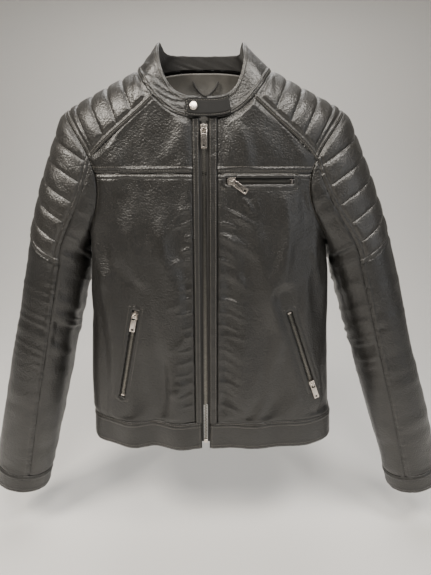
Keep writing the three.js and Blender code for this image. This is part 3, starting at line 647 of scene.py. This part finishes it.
def hangFolds(sheet, folds, seed):
    total = 0
    for one in folds:
        total = total + drape["folds"] * fold(sheet.x, sheet.z, *one)
    total = total * calm(sheet, ("left",), 5)
    bend = softNoise(sheet.z / 90, sheet.x / 120, seed + 4) * drape["bend"]
    broad = softNoise(sheet.x / 31 + bend, sheet.z / 230, seed) * drape["broad"]
    broad = broad + softNoise(sheet.x / 15 + bend, sheet.z / 75, seed + 1) * drape["middle"]
    fine = softNoise(sheet.x / 8, sheet.z / 13, seed + 2) * drape["fine"]
    return total + broad * calm(sheet, ("left",), 18) + fine


def calm(sheet, edges, reach=16):
    share = 1
    for edge in edges:
        share = share * smooth(getattr(sheet, edge) / reach)
    return share

zipRim = {"lift": 0.9, "sink": 0.6, "clear": 30}


# Leather stays flat and sinks a little beside a pocket zip.
def zipDip(sheet, zips):
    share, dip = 1, 0
    for z in zips:
        s, off, long = alongLine(sheet.x, sheet.z, z["from"], z["to"])
        beyond = np.maximum(0, np.maximum(-s, s - long))
        d = np.hypot(off, beyond)
        clear = np.hypot(off, np.maximum(0, beyond - zipRim["clear"]))  # room for the pull past both ends
        share = share * smooth((clear - 8) / 20)
        dip = (
            dip + zipRim["lift"] * np.exp(-(((d - 9.5) / 2.2) ** 2))
            - zipRim["sink"] * np.exp(-(((d - 13) / 1.2) ** 2))
        )
    return share, dip


pocketZips = {
    "chest_pocket": {"from": (36, -164), "to": (133, -164), "bow": 2.2, "lift": 2.2},
    "right_pocket": {"from": (-115, -374), "to": (-146, -527), "bow": 0, "lift": -0.6},
    "left_pocket": {"from": (188, -514), "to": (140, -376), "bow": 1.9, "lift": 0.7},
}
panel = {"bandTop": f["hemZ"] + f["hemBand"], "slotHalf": 5.6}
frontZips = {"right": [pocketZips["right_pocket"]], "left": [pocketZips["left_pocket"], pocketZips["chest_pocket"]]}


# Opens the leather over each pocket zip.
def cutSlots(piece, zips):
    bm = bmesh.new()
    bm.from_mesh(piece.data)
    gone = []
    for face in bm.faces:
        c = face.calc_center_median() * 1000
        for z in zips:
            s, off, long = alongLine(c.x, c.z, z["from"], z["to"])
            if abs(off) < panel["slotHalf"] - 0.6 and -3.5 < s < long + 3.5 and c.y < 0:
                gone.append(face)
                break
    bmesh.ops.delete(bm, geom=gone, context="FACES")
    bm.to_mesh(piece.data)
    bm.free()


for side, s in sideSign.items():
    flip = s > 0  # grids run outwards from the middle on both sides
    placket = f["placketOuter"][side]

    def strip(u, z, x0, turn1, depth=0.0):
        return bodyAt(s * xAtTurn(mix(turnAtX(x0, z, side), turn1, u), z, side), z, -1, depth)

    def panelAt(u, v):
        z = mix(panel["bandTop"], f["yokeZ"], v)
        return strip(u, z, placket, edgeTurn(z, side))

    sheet = Sheet(panelAt, coarse=1.8)
    share, dip = zipDip(sheet, frontZips[side])
    height = (
        hangFolds(sheet, bodyFolds[side] + pulls(side), s * 3 + 5) * calm(sheet, ("high", "right", "low"), 14) * share
        + dip
    )
    height += hemWave(sheet, side) * calm(sheet, sides, 26) * share
    height += rolled(sheet) + welt(sheet, "high", rows=(2.6, 8.4), lift=0.5, wide=10, seed=s)
    piece = skin(f"{side}_front_panel", sheet, height, not flip)
    cutSlots(piece, frontZips[side])
    stitch(bodyName, sheet, high=(2.6,), right=(2.4,))

    sheet = Sheet(lambda u, v: strip(u, mix(f["hemZ"], panel["bandTop"], v), f["placketInner"], 1.0), coarse=2.0)
    height = (
        rolled(sheet, 1.6) + welt(sheet, "high", rows=(3, 9), lift=0.8, seed=s + 3)
        + welt(sheet, "low", rows=(6,), lift=0.3, seed=s + 4)
    )
    height += hemWave(sheet, side) * calm(sheet, sides, 26)
    height += softNoise(sheet.x / 24, sheet.z / 40, s + 9) * 0.9 * calm(sheet, sides, 20)
    skin(f"{side}_front_hem_band", sheet, height, not flip, thickness=thick["band"])
    stitch(bodyName, sheet, high=(3, 9), low=(6,), left=(4,))

    def placketAt(u, v):
        return bodyAt(s * mix(f["placketInner"], placket, u), mix(panel["bandTop"], neckZ(placket, -1), v), -1)

    sheet = Sheet(placketAt, coarse=1.4, fine=0.8, zone=5)
    crimp = softNoise(sheet.z / 16, sheet.x / 30, s + 6) * 0.8 + softNoise(sheet.z / 6, sheet.x / 12, s + 7) * 0.35
    rise = 1.2 if side == "left" else 0.5
    height = rise * smooth(sheet.left / 2.5) * smooth(sheet.right / 2.5) + rolled(sheet, 0.8, 1.5, sides)
    skin(f"{side}_placket", sheet, height + crimp * 0.7, not flip)
    stitch(bodyName, sheet, left=(2.6,), right=(2.6,))

    def yokeAt(u, v):
        x1 = yokeX(u, placket, notchX(side))
        top = np.where(x1 < f["padNeckX"], neckZ(x1, -1), padLine(x1, side))
        z = mix(f["yokeZ"], top, v)
        x = mix(yokeX(u, placket, armholeX(np.float64(f["yokeZ"]), side)), x1, v)
        edge = smooth((u - 0.9) / 0.1)
        return bodyAt(s * mix(x, armholeX(z, side), edge), z, -1)

    sheet = Sheet(yokeAt, coarse=1.8)
    height = hangFolds(sheet, yokeFolds[side], s * 5 + 8) * 0.8 * calm(sheet, ("low", "right", "high"), 12)
    height += rolled(sheet) + welt(sheet, "low", rows=(3, 9), lift=1.3, wide=11, seed=s + 2)
    skin(f"{side}_front_yoke", sheet, height, not flip)
    stitch(bodyName, sheet, low=(3, 9), right=(2.4,))
print("front ready")

padding = {"channels": 5, "skew": 0.09, "swell": 2.6, "sleeveChannels": 6, "sleeveSwell": 2.6, "border": 7.5}
sewing = {"roundOver": 3.6, "sink": 0.7, "width": 0.9, "gather": 0.5, "gatherReach": 7, "rise": 6}


# Flat stuffed channels between thin sewn lines, inside a sewn border.
def channels(share, count, pitch, swell, edge, seed):
    phase = (share * count) % 1
    gap = np.minimum(phase, 1 - phase) * pitch
    plump = 1 - np.exp(-((gap / sewing["roundOver"]) ** 1.2))
    gather = sewing["gather"] * np.exp(-((gap / sewing["gatherReach"]) ** 2))
    along = softNoise(edge / 6, share * count * 2.3, seed) * gather
    sewn = -sewing["sink"] * np.exp(-((gap / sewing["width"]) ** 2))
    return (plump * swell + along + sewn) * smooth((edge - padding["border"]) / sewing["rise"])


for side, s in sideSign.items():
    flip = s > 0

    def padAt(u, v):
        v = mix(-0.008, 1.008, v)  # laps a little over the seams
        w = np.abs(2 * v - 1) ** 1.6
        x0 = mix(f["padNeckX"], notchX(side), u)
        x1 = mix(f["neckHalf"], f["tipX"], u)
        z = mix(ridgeZ(x1), padLine(x0, side, np.where(v < 0.5, -1, 1)), w)
        bulge = armholeX(z, side) - mix(f["tipX"], notchX(side), w)
        x = mix(x1, x0, w) + u**3 * bulge
        return bodyAt(s * x, np.minimum(z, ridgeZ(x)), np.where(v < 0.5, -1, 1))

    sheet = Sheet(padAt, coarse=1.5, fine=0.9, zone=14)
    inner = np.minimum(np.minimum(sheet.low, sheet.high), np.minimum(sheet.left + 6, sheet.right))
    share = np.clip(sheet.u - padding["skew"] * np.abs(2 * sheet.v - 1) ** 1.6, 0, 0.9999)
    height = channels(share, padding["channels"], 28, padding["swell"], inner, s + 21)
    height += softNoise(sheet.su / 9, sheet.sv / 18, s + 12) * 0.5 * smooth(inner / 12)
    for edge in ("low", "high", "right"):
        height += welt(sheet, edge, rows=(2.6, 6.4), lift=1.5, wide=8.5, seed=s + 15, pucker=0.5)
    height += rolled(sheet, 1.8, 2.0)
    piece = skin(f"{side}_shoulder_pad", sheet, height, not flip, "pad_leather")
    stitch(bodyName, sheet, low=(2.6, 6.4), high=(2.6, 6.4), right=(2.6, 6.4))
print("shoulders ready")


# The back, in one sheet from side seam to side seam.
def half(u):
    left = u < 0.5
    return left, np.where(left, 1, -1), np.abs(2 * u - 1)


def pick(left, function):
    return np.where(left, function("left"), function("right"))


def backStrip(u, z, back=0.0, depth=0.0):
    left, sign, out = half(u)
    x = pick(left, lambda side: xAtTurn(out * edgeTurn(z, side, back), z, side))
    return bodyAt(sign * x, z, 1, depth)


def backYokeAt(depth, back):
    def at(u, v):
        left, sign, out = half(u)
        top1 = pick(left, lambda side: yokeX(out, 0, notchX(side) - back))
        low1 = pick(left, lambda side: yokeX(out, 0, armholeX(np.float64(f["yokeZ"]), side) - back))
        line = pick(left, lambda side: padLine(top1, side, 1))
        z = mix(f["yokeZ"], np.where(top1 < f["padNeckX"], neckZ(top1, 1), line) - back, v)
        x = mix(low1, top1, v)
        edge = pick(left, lambda side: armholeX(z, side) - back)
        return bodyAt(sign * mix(x, edge, smooth((out - 0.9) / 0.1)), z, 1, depth)

    return at


backFolds = [
    (60, -210, 72, -470, 20, 2.4), (-70, -230, -60, -520, 20, 2.4), (0, -260, 6, -560, 18, 1.8),
    (130, -270, 120, -500, 18, 2.2), (-130, -270, -140, -480, 18, 2.0)
]
sheet = Sheet(lambda u, v: backStrip(u, mix(panel["bandTop"], f["yokeZ"], v)), coarse=2.4)
skin("back_panel", sheet, hangFolds(sheet, backFolds, 31) * calm(sheet, allEdges, 16) + rolled(sheet), True)
stitch(bodyName, sheet, high=(2.6,), left=(2.4,), right=(2.4,))
sheet = Sheet(lambda u, v: backStrip(u, mix(f["hemZ"], panel["bandTop"], v)), coarse=2.4)
height = rolled(sheet, 1.6) + welt(sheet, "high", rows=(3, 9), lift=0.8, seed=41)
skin("back_hem_band", sheet, height + welt(sheet, "low", rows=(6,), lift=0.3, seed=42), True, thickness=thick["band"])
stitch(bodyName, sheet, high=(3, 9), low=(6,))
sheet = Sheet(backYokeAt(0, 0), coarse=2.2)
height = hangFolds(sheet, [], 51) * 0.7 * calm(sheet, allEdges, 16)
skin("back_yoke", sheet, height + rolled(sheet) + welt(sheet, "low", rows=(3, 9), lift=1.2, seed=52), True)
stitch(bodyName, sheet, low=(3, 9))
print("back ready")

lining = {"yokeDepth": 4, "backDepth": 4.4, "frontDepth": 13.3, "sleeveDepth": 5, "thick": 0.7, "facingWidth": 24}


def satin(name, at, flip, body=bodyName, loop=False, nodes=(), folds=0.5, seed=0.0):
    sheet = Sheet(at, coarse=4.5, fine=2, zone=4, loop=loop)
    sheet.push(-np.abs(softNoise(sheet.x / 12, sheet.z / 50, seed)) * folds * calm(sheet, ("low", "high"), 8))
    return wrapped(name, sheet, lining["thick"], flip, material="lining", body=body, slot="lining", nodes=nodes)


satin("yoke_lining_cloth", backYokeAt(lining["yokeDepth"], 3), True, nodes=["yoke_lining"], folds=1.4, seed=61)


def liningZ(v):
    return mix(f["hemZ"] + f["hemBand"] / 2, f["yokeZ"] - 6, v)


satin(
    "back_lining_cloth", lambda u, v: backStrip(u, liningZ(v), 6, lining["backDepth"] + 0.3), True,
    nodes=["back_lining"], folds=2, seed=62
)
for side, s in sideSign.items():
    def innerAt(u, v):
        z = mix(f["hemZ"] + f["hemBand"] / 2, f["yokeZ"], v)
        turn = mix(turnAtX(lining["facingWidth"], z, side), edgeTurn(z, side, 8), u)
        return bodyAt(s * xAtTurn(turn, z, side), z, -1, lining["frontDepth"])

    satin(f"{side}_front_lining_cloth", innerAt, s < 0, nodes=[f"{side}_front_lining"], folds=1.5, seed=63 + s)

    def tubeAt(u, v):
        return sleeveAt(-2 * math.pi * u, mix(1.94, 0.16, v), side, lining["sleeveDepth"] + 0.2)

    satin(
        f"{side}_sleeve_lining_cloth", tubeAt, s < 0, body=sleeveBend(side), loop=True,
        nodes=[f"{side}_sleeve_lining"], folds=0.8, seed=66 + s
    )
print("linings ready")

sleeve = {
    "folds": 5.5, "long": 2.2, "low": 1.1, "fine": 0.15, "elbowDown": 400, "elbowReach": 90, "pitDown": 250,
    "pitReach": 60, "pit": 0.8
}
for side, s in sideSign.items():
    span = math.dist((f["bicepsX"][side], f["bicepsZ"]), (f["cuffX"][side], f["cuffZ"]))
    cuffT = 2 - f["cuffBand"] / span
    bend = sleeveBend(side)
    flip = s > 0

    def padT(u):
        return f["padEnd"] + f["padChevron"] * np.abs(2 * u - 1)

    def across(u, t):
        return mix(seamAt(t), -seamAt(t), u)

    # Folds that cross the sleeve at the elbow and the armpit, and long soft ones.
    def creases(sheet, seed):
        down = -sheet.z
        elbow = np.exp(-(((down - sleeve["elbowDown"]) / sleeve["elbowReach"]) ** 2))
        pit = np.exp(-(((down - sleeve["pitDown"]) / sleeve["pitReach"]) ** 2)) * sleeve["pit"]
        slant = down + 0.45 * (np.abs(sheet.x) - 260) - 0.3 * sheet.y
        crossing = (0.35 - np.abs(softNoise(slant / 16, sheet.y / 70, seed))) * (elbow + pit)
        long = softNoise(sheet.y / 24, down / 150, seed + 1) * sleeve["long"]
        low = softNoise(slant / 22, sheet.y / 45, seed + 2) * sleeve["low"]
        middle = mix(f["bicepsX"][side], f["cuffX"][side], (down - 292) / 456)
        inside = 1 - 0.8 * smooth((np.abs(sheet.x) - middle + 22) / 30)  # calm on the outer side
        return (
            crossing * sleeve["folds"] * inside + long + low * 0.8
            + softNoise(down / 9, sheet.y / 9, seed + 3) * sleeve["fine"]
        )

    def padAt(u, v):
        t = padT(u) * (1 - v)
        return sleeveAt(across(u, t), t, side)

    sheet = Sheet(padAt, coarse=1.5, fine=0.9, zone=14)
    inner = np.minimum(np.minimum(sheet.left, sheet.right), np.minimum(sheet.low, sheet.high + 5))
    down = unit(np.array([s * (f["cuffX"][side] - f["bicepsX"][side]), 0, f["cuffZ"] - f["bicepsZ"]], float))
    reach = (sheet.p - sleeveAt(0.0, 0.0, side)[0]) @ down
    ends = (sleeveAt(across(w, padT(w)), padT(w), side)[0] - sleeveAt(0.0, 0.0, side)[0] for w in (0.5, 0.0))
    middle, corner = (float(e @ down) for e in ends)
    share = np.clip((reach - (corner - middle) * np.abs(2 * sheet.u - 1)) / middle, 0, 0.9999)
    count = padding["sleeveChannels"]
    height = channels(share, count, middle / count, padding["sleeveSwell"], inner, s + 71)
    height += softNoise(sheet.sv / 10, sheet.su / 18, s + 72) * 0.6 * smooth(inner / 12)
    for edge in ("left", "right", "low"):
        height += welt(sheet, edge, rows=(2.6, 6.4), lift=1.3, wide=8.5, seed=s + 75, pucker=0.9)
    height += rolled(sheet, 1.6, 2.0)
    piece = skin(f"{side}_sleeve_pad", sheet, height, flip, "pad_leather", body=bend)
    stitch(f"{side}_sleeve", sheet, left=(2.6, 6.4), low=(2.6, 6.4), right=(2.6, 6.4), high=(3,))

    def outerAt(u, v):
        t = mix(cuffT, padT(u), v)
        return sleeveAt(across(u, t), t, side)

    sheet = Sheet(outerAt, coarse=2.0)
    height = creases(sheet, 81 + s) * calm(sheet, allEdges, 14) + rolled(sheet)
    for edge, seed in (("left", 83), ("right", 84)):
        height += welt(sheet, edge, rows=(3, 8.5), lift=1.0, seed=seed + s, pucker=0.9)
    skin(f"{side}_outer_sleeve", sheet, height, flip, body=bend)
    stitch(f"{side}_sleeve", sheet, left=(3, 8.5), right=(3, 8.5))

    def underAt(u, v):
        t = mix(cuffT, 0, v)
        return sleeveAt(mix(2 * math.pi - seamAt(t), seamAt(t), u), t, side)

    sheet = Sheet(underAt, coarse=2.0)
    height = creases(sheet, 91 + s) * 1.2 * calm(sheet, allEdges, 14) + rolled(sheet)
    skin(f"{side}_under_sleeve", sheet, height, flip, body=bend)

    sheet = Sheet(lambda u, v: sleeveAt(-2 * math.pi * u, mix(2, cuffT, v), side), coarse=2.0, loop=True)
    height = (
        rolled(sheet, 1.6, edges=("low", "high")) + welt(sheet, "high", rows=(3, 8), lift=0.7, seed=97 + s)
        + welt(sheet, "low", rows=(5,), lift=0.4, seed=98 + s)
    )
    skin(f"{side}_cuff", sheet, height, flip, body=f"{side}_sleeve", thickness=thick["band"])
    stitch(f"{side}_sleeve", sheet, high=(3, 8), low=(5,))
print("sleeves ready")

collar = {"end": math.asin(f["collarGap"] / f["neckHalf"]), "facingGap": 0.7}


def collarAngle(u):
    return mix(collar["end"], 2 * math.pi - collar["end"], u)


sheet = Sheet(lambda u, v: collarAt(collarAngle(u), v), coarse=1.5, fine=0.8, zone=8)
height = rolled(sheet, 1.4, 2.2)
for edge in ("high", "low"):
    height += welt(sheet, edge, rows=(3, 7.5), lift=1.1, wide=9.5, seed=101, pucker=0.5)
height += softNoise(sheet.su / 11, sheet.sv / 30, 103) * 0.7
skin("collar", sheet, height, False)
stitch(bodyName, sheet, high=(3, 7.5), low=(3, 7.5))
sheet = Sheet(
    lambda u, v: collarAt(collarAngle(u), mix(0.06, 0.95, v), -f["leather"] - collar["facingGap"]), coarse=2.2
)
sheet.push(softNoise(sheet.su / 12, sheet.sv / 20, 105) * 0.3)
wrapped(
    "collar_facing_cloth", sheet, 1.0, False, material="facing", body=bodyName, slot="leather",
    nodes=["collar_facing"]
)

tab = {"from": -27, "to": 40, "low": 0.0, "high": 0.86, "stand": 4.8, "thick": 1.5, "corner": 6, "tall": 26}


def tabAt(u, v):
    angle = mix(math.asin(tab["from"] / f["neckHalf"]), math.asin(tab["to"] / f["neckHalf"]), u)
    reach = (tab["to"] - tab["from"]) * u  # from the free end
    r = tab["corner"]
    tuck = np.where(reach < r, r - np.sqrt(np.maximum(0, r * r - (r - reach) ** 2)), 0) / tab["tall"]
    return collarAt(angle, mix(tab["low"] + tuck, tab["high"] - tuck, v), np.full_like(angle, tab["stand"]))


sheet = Sheet(tabAt, coarse=1.1, fine=0.7, zone=5)
height = rolled(sheet, 0.5, 1.2)
for edge, seed in (("high", 111), ("low", 112)):
    height += welt(sheet, edge, rows=(3,), lift=0.2, wide=5, seed=seed, pucker=0.15)
sheet.push(height)
wrapped(
    "collar_tab_skin", sheet, tab["thick"], False, material="tab", body="collar_tab", slot="leather",
    nodes=["collar_tab"]
)
stitch("collar_tab", sheet, high=(3,), low=(3,), left=(3,))
print("collar ready")


# Thread follows the sewn lines.
# Copies on points, made real and given their finish.
def painted(tree, out, kind, **inputs):
    copies = node(tree, "GeometryNodeInstanceOnPoints", **inputs)
    real = node(tree, "GeometryNodeRealizeInstances", copies.outputs[0])
    paint = node(tree, "GeometryNodeSetMaterial", Geometry=real.outputs[0], Material=finish[kind])
    tree.links.new(paint.outputs[0], out["Geometry"])


def stitchTree():
    tree, given, out = nodeGroup(
        "stitches", "GeometryNodeTree", {"Pitch": 0.0036, "Stitch Length": 0.0028, "Thread": 0.001}, ["Geometry"]
    )
    spaced = node(tree, "GeometryNodeResampleCurve", mode="LENGTH", Curve=given["Geometry"], Length=given["Pitch"])
    bead = node(tree, "GeometryNodeMeshUVSphere", Segments=6, Rings=4, Radius=0.5)
    scale = node(tree, "CombineXYZ", given["Thread"], given["Thread"], given["Stitch Length"])
    aim = node(
        tree, "FunctionNodeAlignRotationToVector", axis="Z", Vector=node(tree, "GeometryNodeInputTangent").outputs[0]
    )
    painted(
        tree, out, "thread", Points=spaced.outputs[0], Instance=bead.outputs["Mesh"], Rotation=aim.outputs[0],
        Scale=scale.outputs[0]
    )
    return tree


# The evaluated object as a plain mesh object.
def applied(source, name):
    mesh = bpy.data.meshes.new_from_object(source.evaluated_get(bpy.context.evaluated_depsgraph_get()))
    mesh.name = name
    piece = placed(name, mesh)
    bpy.data.objects.remove(source)
    return piece


pocketSeam = {"aside": 11.5, "beyond": 9, "sunk": 0.1}
for z in pocketZips.values():
    (x0, z0), (x1, z1) = z["from"], z["to"]
    long = math.hypot(x1 - x0, z1 - z0)
    ax, az = (x1 - x0) / long, (z1 - z0) / long
    rim, beyond = pocketSeam["aside"], pocketSeam["beyond"]
    corners = [(-beyond, -rim), (long + beyond, -rim), (long + beyond, rim), (-beyond, rim), (-beyond, -rim)]
    path = []
    for (a0, b0), (a1, b1) in zip(corners, corners[1:]):
        for k in np.linspace(0, 1, 12, endpoint=False):
            a, b = mix(a0, a1, k), mix(b0, b1, k)
            path.append(
                bodyAt(np.float64(x0 + ax * a - az * b), np.float64(z0 + az * a + ax * b), -1, pocketSeam["sunk"])[0]
            )
    stitchLines.setdefault(bodyName, []).append(path)

stitches = stitchTree()
for body, lines in stitchLines.items():
    curve = bpy.data.curves.new("seams", "CURVE")
    curve.dimensions = "3D"
    for points in lines:
        spline = curve.splines.new("POLY")
        spline.points.add(len(points) - 1)
        spline.points.foreach_set("co", np.concatenate([np.array(points) * mm, np.ones((len(points), 1))], 1).ravel())
    source = placed("seams", curve)
    source.modifiers.new("stitches", "NODES").node_group = stitches
    piece = applied(source, f"{body}_thread")
    piece.data.shade_smooth()
    side = body.split("_")[0]
    settle(piece, sleeveBend(side) if body.endswith("_sleeve") else body)
print("thread ready")

zipSize = {"tapeDepth": 3.4, "tapeThick": 0.8, "frontTop": -82, "frontBottom": -608.5}
stop = {"size": (6.4, 1.6, 2.6), "beyond": 0.4, "proud": 0.6}


def toothTree():
    sizes = {"Length": 0.1, "Pitch": 0.00155, "Reach": 0.0029, "Hook": 0.0009, "Thickness": 0.0021, "Tooth": 0.00115}
    tree, given, out = nodeGroup("zipTeeth", "GeometryNodeTree", sizes, ["Geometry"])

    def figure(a, b, operation):
        return node(tree, "Math", a, b, operation=operation).outputs[0]

    def vector(**axes):
        return node(tree, "CombineXYZ", **axes).outputs[0]

    count = figure(given["Length"], given["Pitch"], "DIVIDE")
    origin = vector(Z=figure(given["Length"], -0.5, "MULTIPLY"))
    row = node(tree, "GeometryNodeMeshLine", Count=count, Start_Location=origin, Offset=vector(Z=given["Pitch"]))
    width = figure(given["Reach"], given["Hook"], "ADD")
    tooth = node(tree, "GeometryNodeMeshCube", Size=vector(X=width, Y=given["Thickness"], Z=given["Tooth"]))
    aside = figure(figure(given["Reach"], given["Hook"], "SUBTRACT"), 0.5, "MULTIPLY")
    moved = node(tree, "GeometryNodeTransform", Geometry=tooth.outputs["Mesh"], Translation=vector(X=aside))
    # every second tooth faces the other way
    odd = figure(
        node(tree, "GeometryNodeInputIndex").outputs[0], 2, "MODULO"
    )
    turn = node(tree, "FunctionNodeEulerToRotation", vector(Z=figure(odd, math.pi, "MULTIPLY")))
    painted(tree, out, "zip_metal", Points=row.outputs["Mesh"], Instance=moved.outputs[0], Rotation=turn.outputs[0])
    return tree


teeth = toothTree()


def inputOf(tree, name):
    sockets = (i for i in tree.interface.items_tree if i.item_type == "SOCKET" and i.in_out == "INPUT")
    return next(i.identifier for i in sockets if i.name == name)


# A closed chain along its own Z, bent round its zip's arc and put in its place.
def chain(name, length, bow, place, nodes):
    seed = placed("seed", bpy.data.meshes.new("seed"))
    modifier = seed.modifiers.new("teeth", "NODES")
    modifier.node_group = teeth
    modifier[inputOf(teeth, "Length")] = length * mm
    piece = applied(seed, name)
    p = np.array([v.co for v in piece.data.vertices]) / mm
    p[:, 1] += zipSize["tapeDepth"] + zipSize["tapeThick"] / 2
    if bow:
        radius = length**2 / (8 * bow)
        turn = p[:, 2] / radius
        p[:, 2] = (radius - p[:, 1]) * np.sin(turn)
        p[:, 1] = radius - (radius - p[:, 1]) * np.cos(turn)
    origin, basis = place
    p = p @ basis + origin
    piece.data.vertices.foreach_set("co", (p * mm).ravel())
    settle(piece, bodyName, nodes)


def zipPlace(z):
    ends = [bodyPoint(np.float64(x), np.float64(y), -1) for x, y in (z["from"], z["to"])]
    along = ends[0] - ends[1]
    span = float(np.linalg.norm(along))
    along = along / span
    middle = (ends[0] + ends[1]) / 2
    inward = -bodyAt(np.float64(middle[0]), np.float64(middle[2]), -1)[1]
    inward = unit(inward - along * (inward @ along))
    middle = middle - inward * z["lift"]
    return span, (middle, np.array([np.cross(inward, along), inward, along]))


def block(name, middle, axes, size):
    corners = [middle + sum(axes[i] * size[i] * (k >> i & 1 and 0.5 or -0.5) for i in range(3)) for k in range(8)]
    piece = meshPiece(
        name, corners, [(0, 2, 3, 1), (4, 5, 7, 6), (0, 1, 5, 4), (2, 6, 7, 3), (0, 4, 6, 2), (1, 3, 7, 5)], "nickel",
        bodyName, "nickel", smoothShade=False
    )
    edge = piece.modifiers.new("edges", "BEVEL")
    edge.width = 0.3 * mm
    edge.segments = 2


for name, z in pocketZips.items():
    span, place = zipPlace(z)
    for end, k in (("top", 1), ("bottom", -1)):
        middle = (
            place[0] + place[1][2] * k * (span / 2 + stop["beyond"])
            + place[1][1] * (zipSize["tapeDepth"] - stop["proud"])
        )
        block(f"{name}_{end}_stop", middle, place[1], stop["size"])
    chain(f"{name}_chain", span, z["bow"], place, [f"{name}_zip_teeth"])
top, bottom = zipSize["frontTop"], zipSize["frontBottom"]
chain(
    "front_zip_chain", top - bottom, 0, (np.array([0, -f["frontDepth"], (top + bottom) / 2]), np.eye(3)),
    ["right_front_zip_teeth", "left_front_zip_teeth"]
)


# A CAD piece again, with its edges rounded.
def polished(node, bevel, material, body, segments=2):
    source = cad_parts[node]
    bm = bmesh.new()
    bm.from_mesh(source.data)
    bm.transform(source.matrix_world)
    bmesh.ops.remove_doubles(bm, verts=bm.verts, dist=2e-6)
    bmesh.ops.dissolve_limit(bm, angle_limit=0.02, verts=bm.verts, edges=bm.edges)
    mesh = bpy.data.meshes.new(f"{node}_metal")
    bm.to_mesh(mesh)
    bm.free()
    mesh.materials.clear()
    mesh.materials.append(finish[material])
    piece = placed(mesh.name, mesh)
    settle(piece, body, [node])
    edge = piece.modifiers.new("edges", "BEVEL")
    edge.width = bevel * mm
    edge.segments = segments
    edge.limit_method = "ANGLE"
    edge.angle_limit = 0.5
    edge.harden_normals = False
    mesh.shade_smooth()
    return piece


for name in ("front", "chest_pocket", "right_pocket", "left_pocket"):
    polished(f"{name}_slider", 0.3, "nickel", f"{name}_slider")
    polished(f"{name}_pull", 0.28, "nickel", f"{name}_pull")
polished("front_zip_box", 0.4, "nickel", bodyName)
polished("snap_cap", 0.35, "nickel", "collar_tab", 3)
polished("snap_socket", 0.15, "zip_metal", "collar_tab")
polished("snap_stud", 0.15, "zip_metal", bodyName)
for part, kind in (
    ("snap_post", "zip_metal"), ("hang_loop", "cloth"), ("right_front_zip_tape", "zip_tape"),
    ("left_front_zip_tape", "zip_tape")
):
    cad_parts[part].data.materials.clear()
    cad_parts[part].data.materials.append(finish[kind])
for name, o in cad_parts.items():
    kind = "zip_tape" if name.endswith("_zip_tape") else "cloth" if name.endswith(("_bag", "_stay")) else None
    if kind:
        o.data.materials.clear()
        o.data.materials.append(finish[kind])
print("zips and snap ready")

studio = {
    "floor": (0.78, 0.77, 0.75, 1), "floorRough": 0.8, "air": (0.80, 0.79, 0.77, 1), "airStrength": 0.13,
    "floorZ": -0.85, "curve": 1.2
}
low, bow = studio["floorZ"], studio["curve"]
sweep = [(-6.0, low), (1.0, low)]
sweep += [(1.0 + bow * math.sin(a), low + bow - bow * math.cos(a)) for a in np.linspace(0.1, math.pi / 2, 14)]
sweep.append((1.0 + bow, 5.0))
floorMesh = bpy.data.meshes.new("floor")
floorMesh.from_pydata(
    [(x, y, z) for y, z in sweep for x in (-6, 6)], [],
    [(2 * i, 2 * i + 1, 2 * i + 3, 2 * i + 2) for i in range(len(sweep) - 1)]
)
floorMesh.shade_smooth()
floorMaterial = bpy.data.materials.new("paleFloor")
floorMaterial.use_nodes = True
floorShader = floorMaterial.node_tree.nodes["Principled BSDF"]
floorShader.inputs["Base Color"].default_value = studio["floor"]
floorShader.inputs["Roughness"].default_value = studio["floorRough"]
floorMesh.materials.append(floorMaterial)
placed("floor", floorMesh)

world = bpy.data.worlds.new("studio")
world.use_nodes = True
world.node_tree.nodes["Background"].inputs["Color"].default_value = studio["air"]
world.node_tree.nodes["Background"].inputs["Strength"].default_value = studio["airStrength"]
bpy.context.scene.world = world
lamps = {
    "key": {"place": (-0.85, -0.7, 0.65), "size": 0.4, "power": 26, "color": (1, 0.93, 0.83)},
    "top": {"place": (0.6, -0.6, 0.8), "size": 0.4, "power": 15, "color": (1, 0.95, 0.88)},
    "front": {"place": (0.0, -0.95, 0.75), "size": 0.4, "power": 12, "color": (1, 0.95, 0.87)},
    "fill": {"place": (1.3, -0.9, 0.0), "size": 0.9, "power": 4, "color": (0.93, 0.96, 1)},
    "wall": {"place": (0.0, 0.9, 1.5), "size": 1.6, "power": 34, "color": (1, 0.98, 0.95)},
}
for name, lamp in lamps.items():
    data = bpy.data.lights.new(name, "AREA")
    data.size = lamp["size"]
    data.energy = lamp["power"]
    data.color = lamp["color"]
    light = placed(name, data)
    light.location = lamp["place"]
    light.rotation_euler = (Vector((0, 0, -0.3)) - Vector(lamp["place"])).to_track_quat("-Z", "Y").to_euler()
print("studio ready")
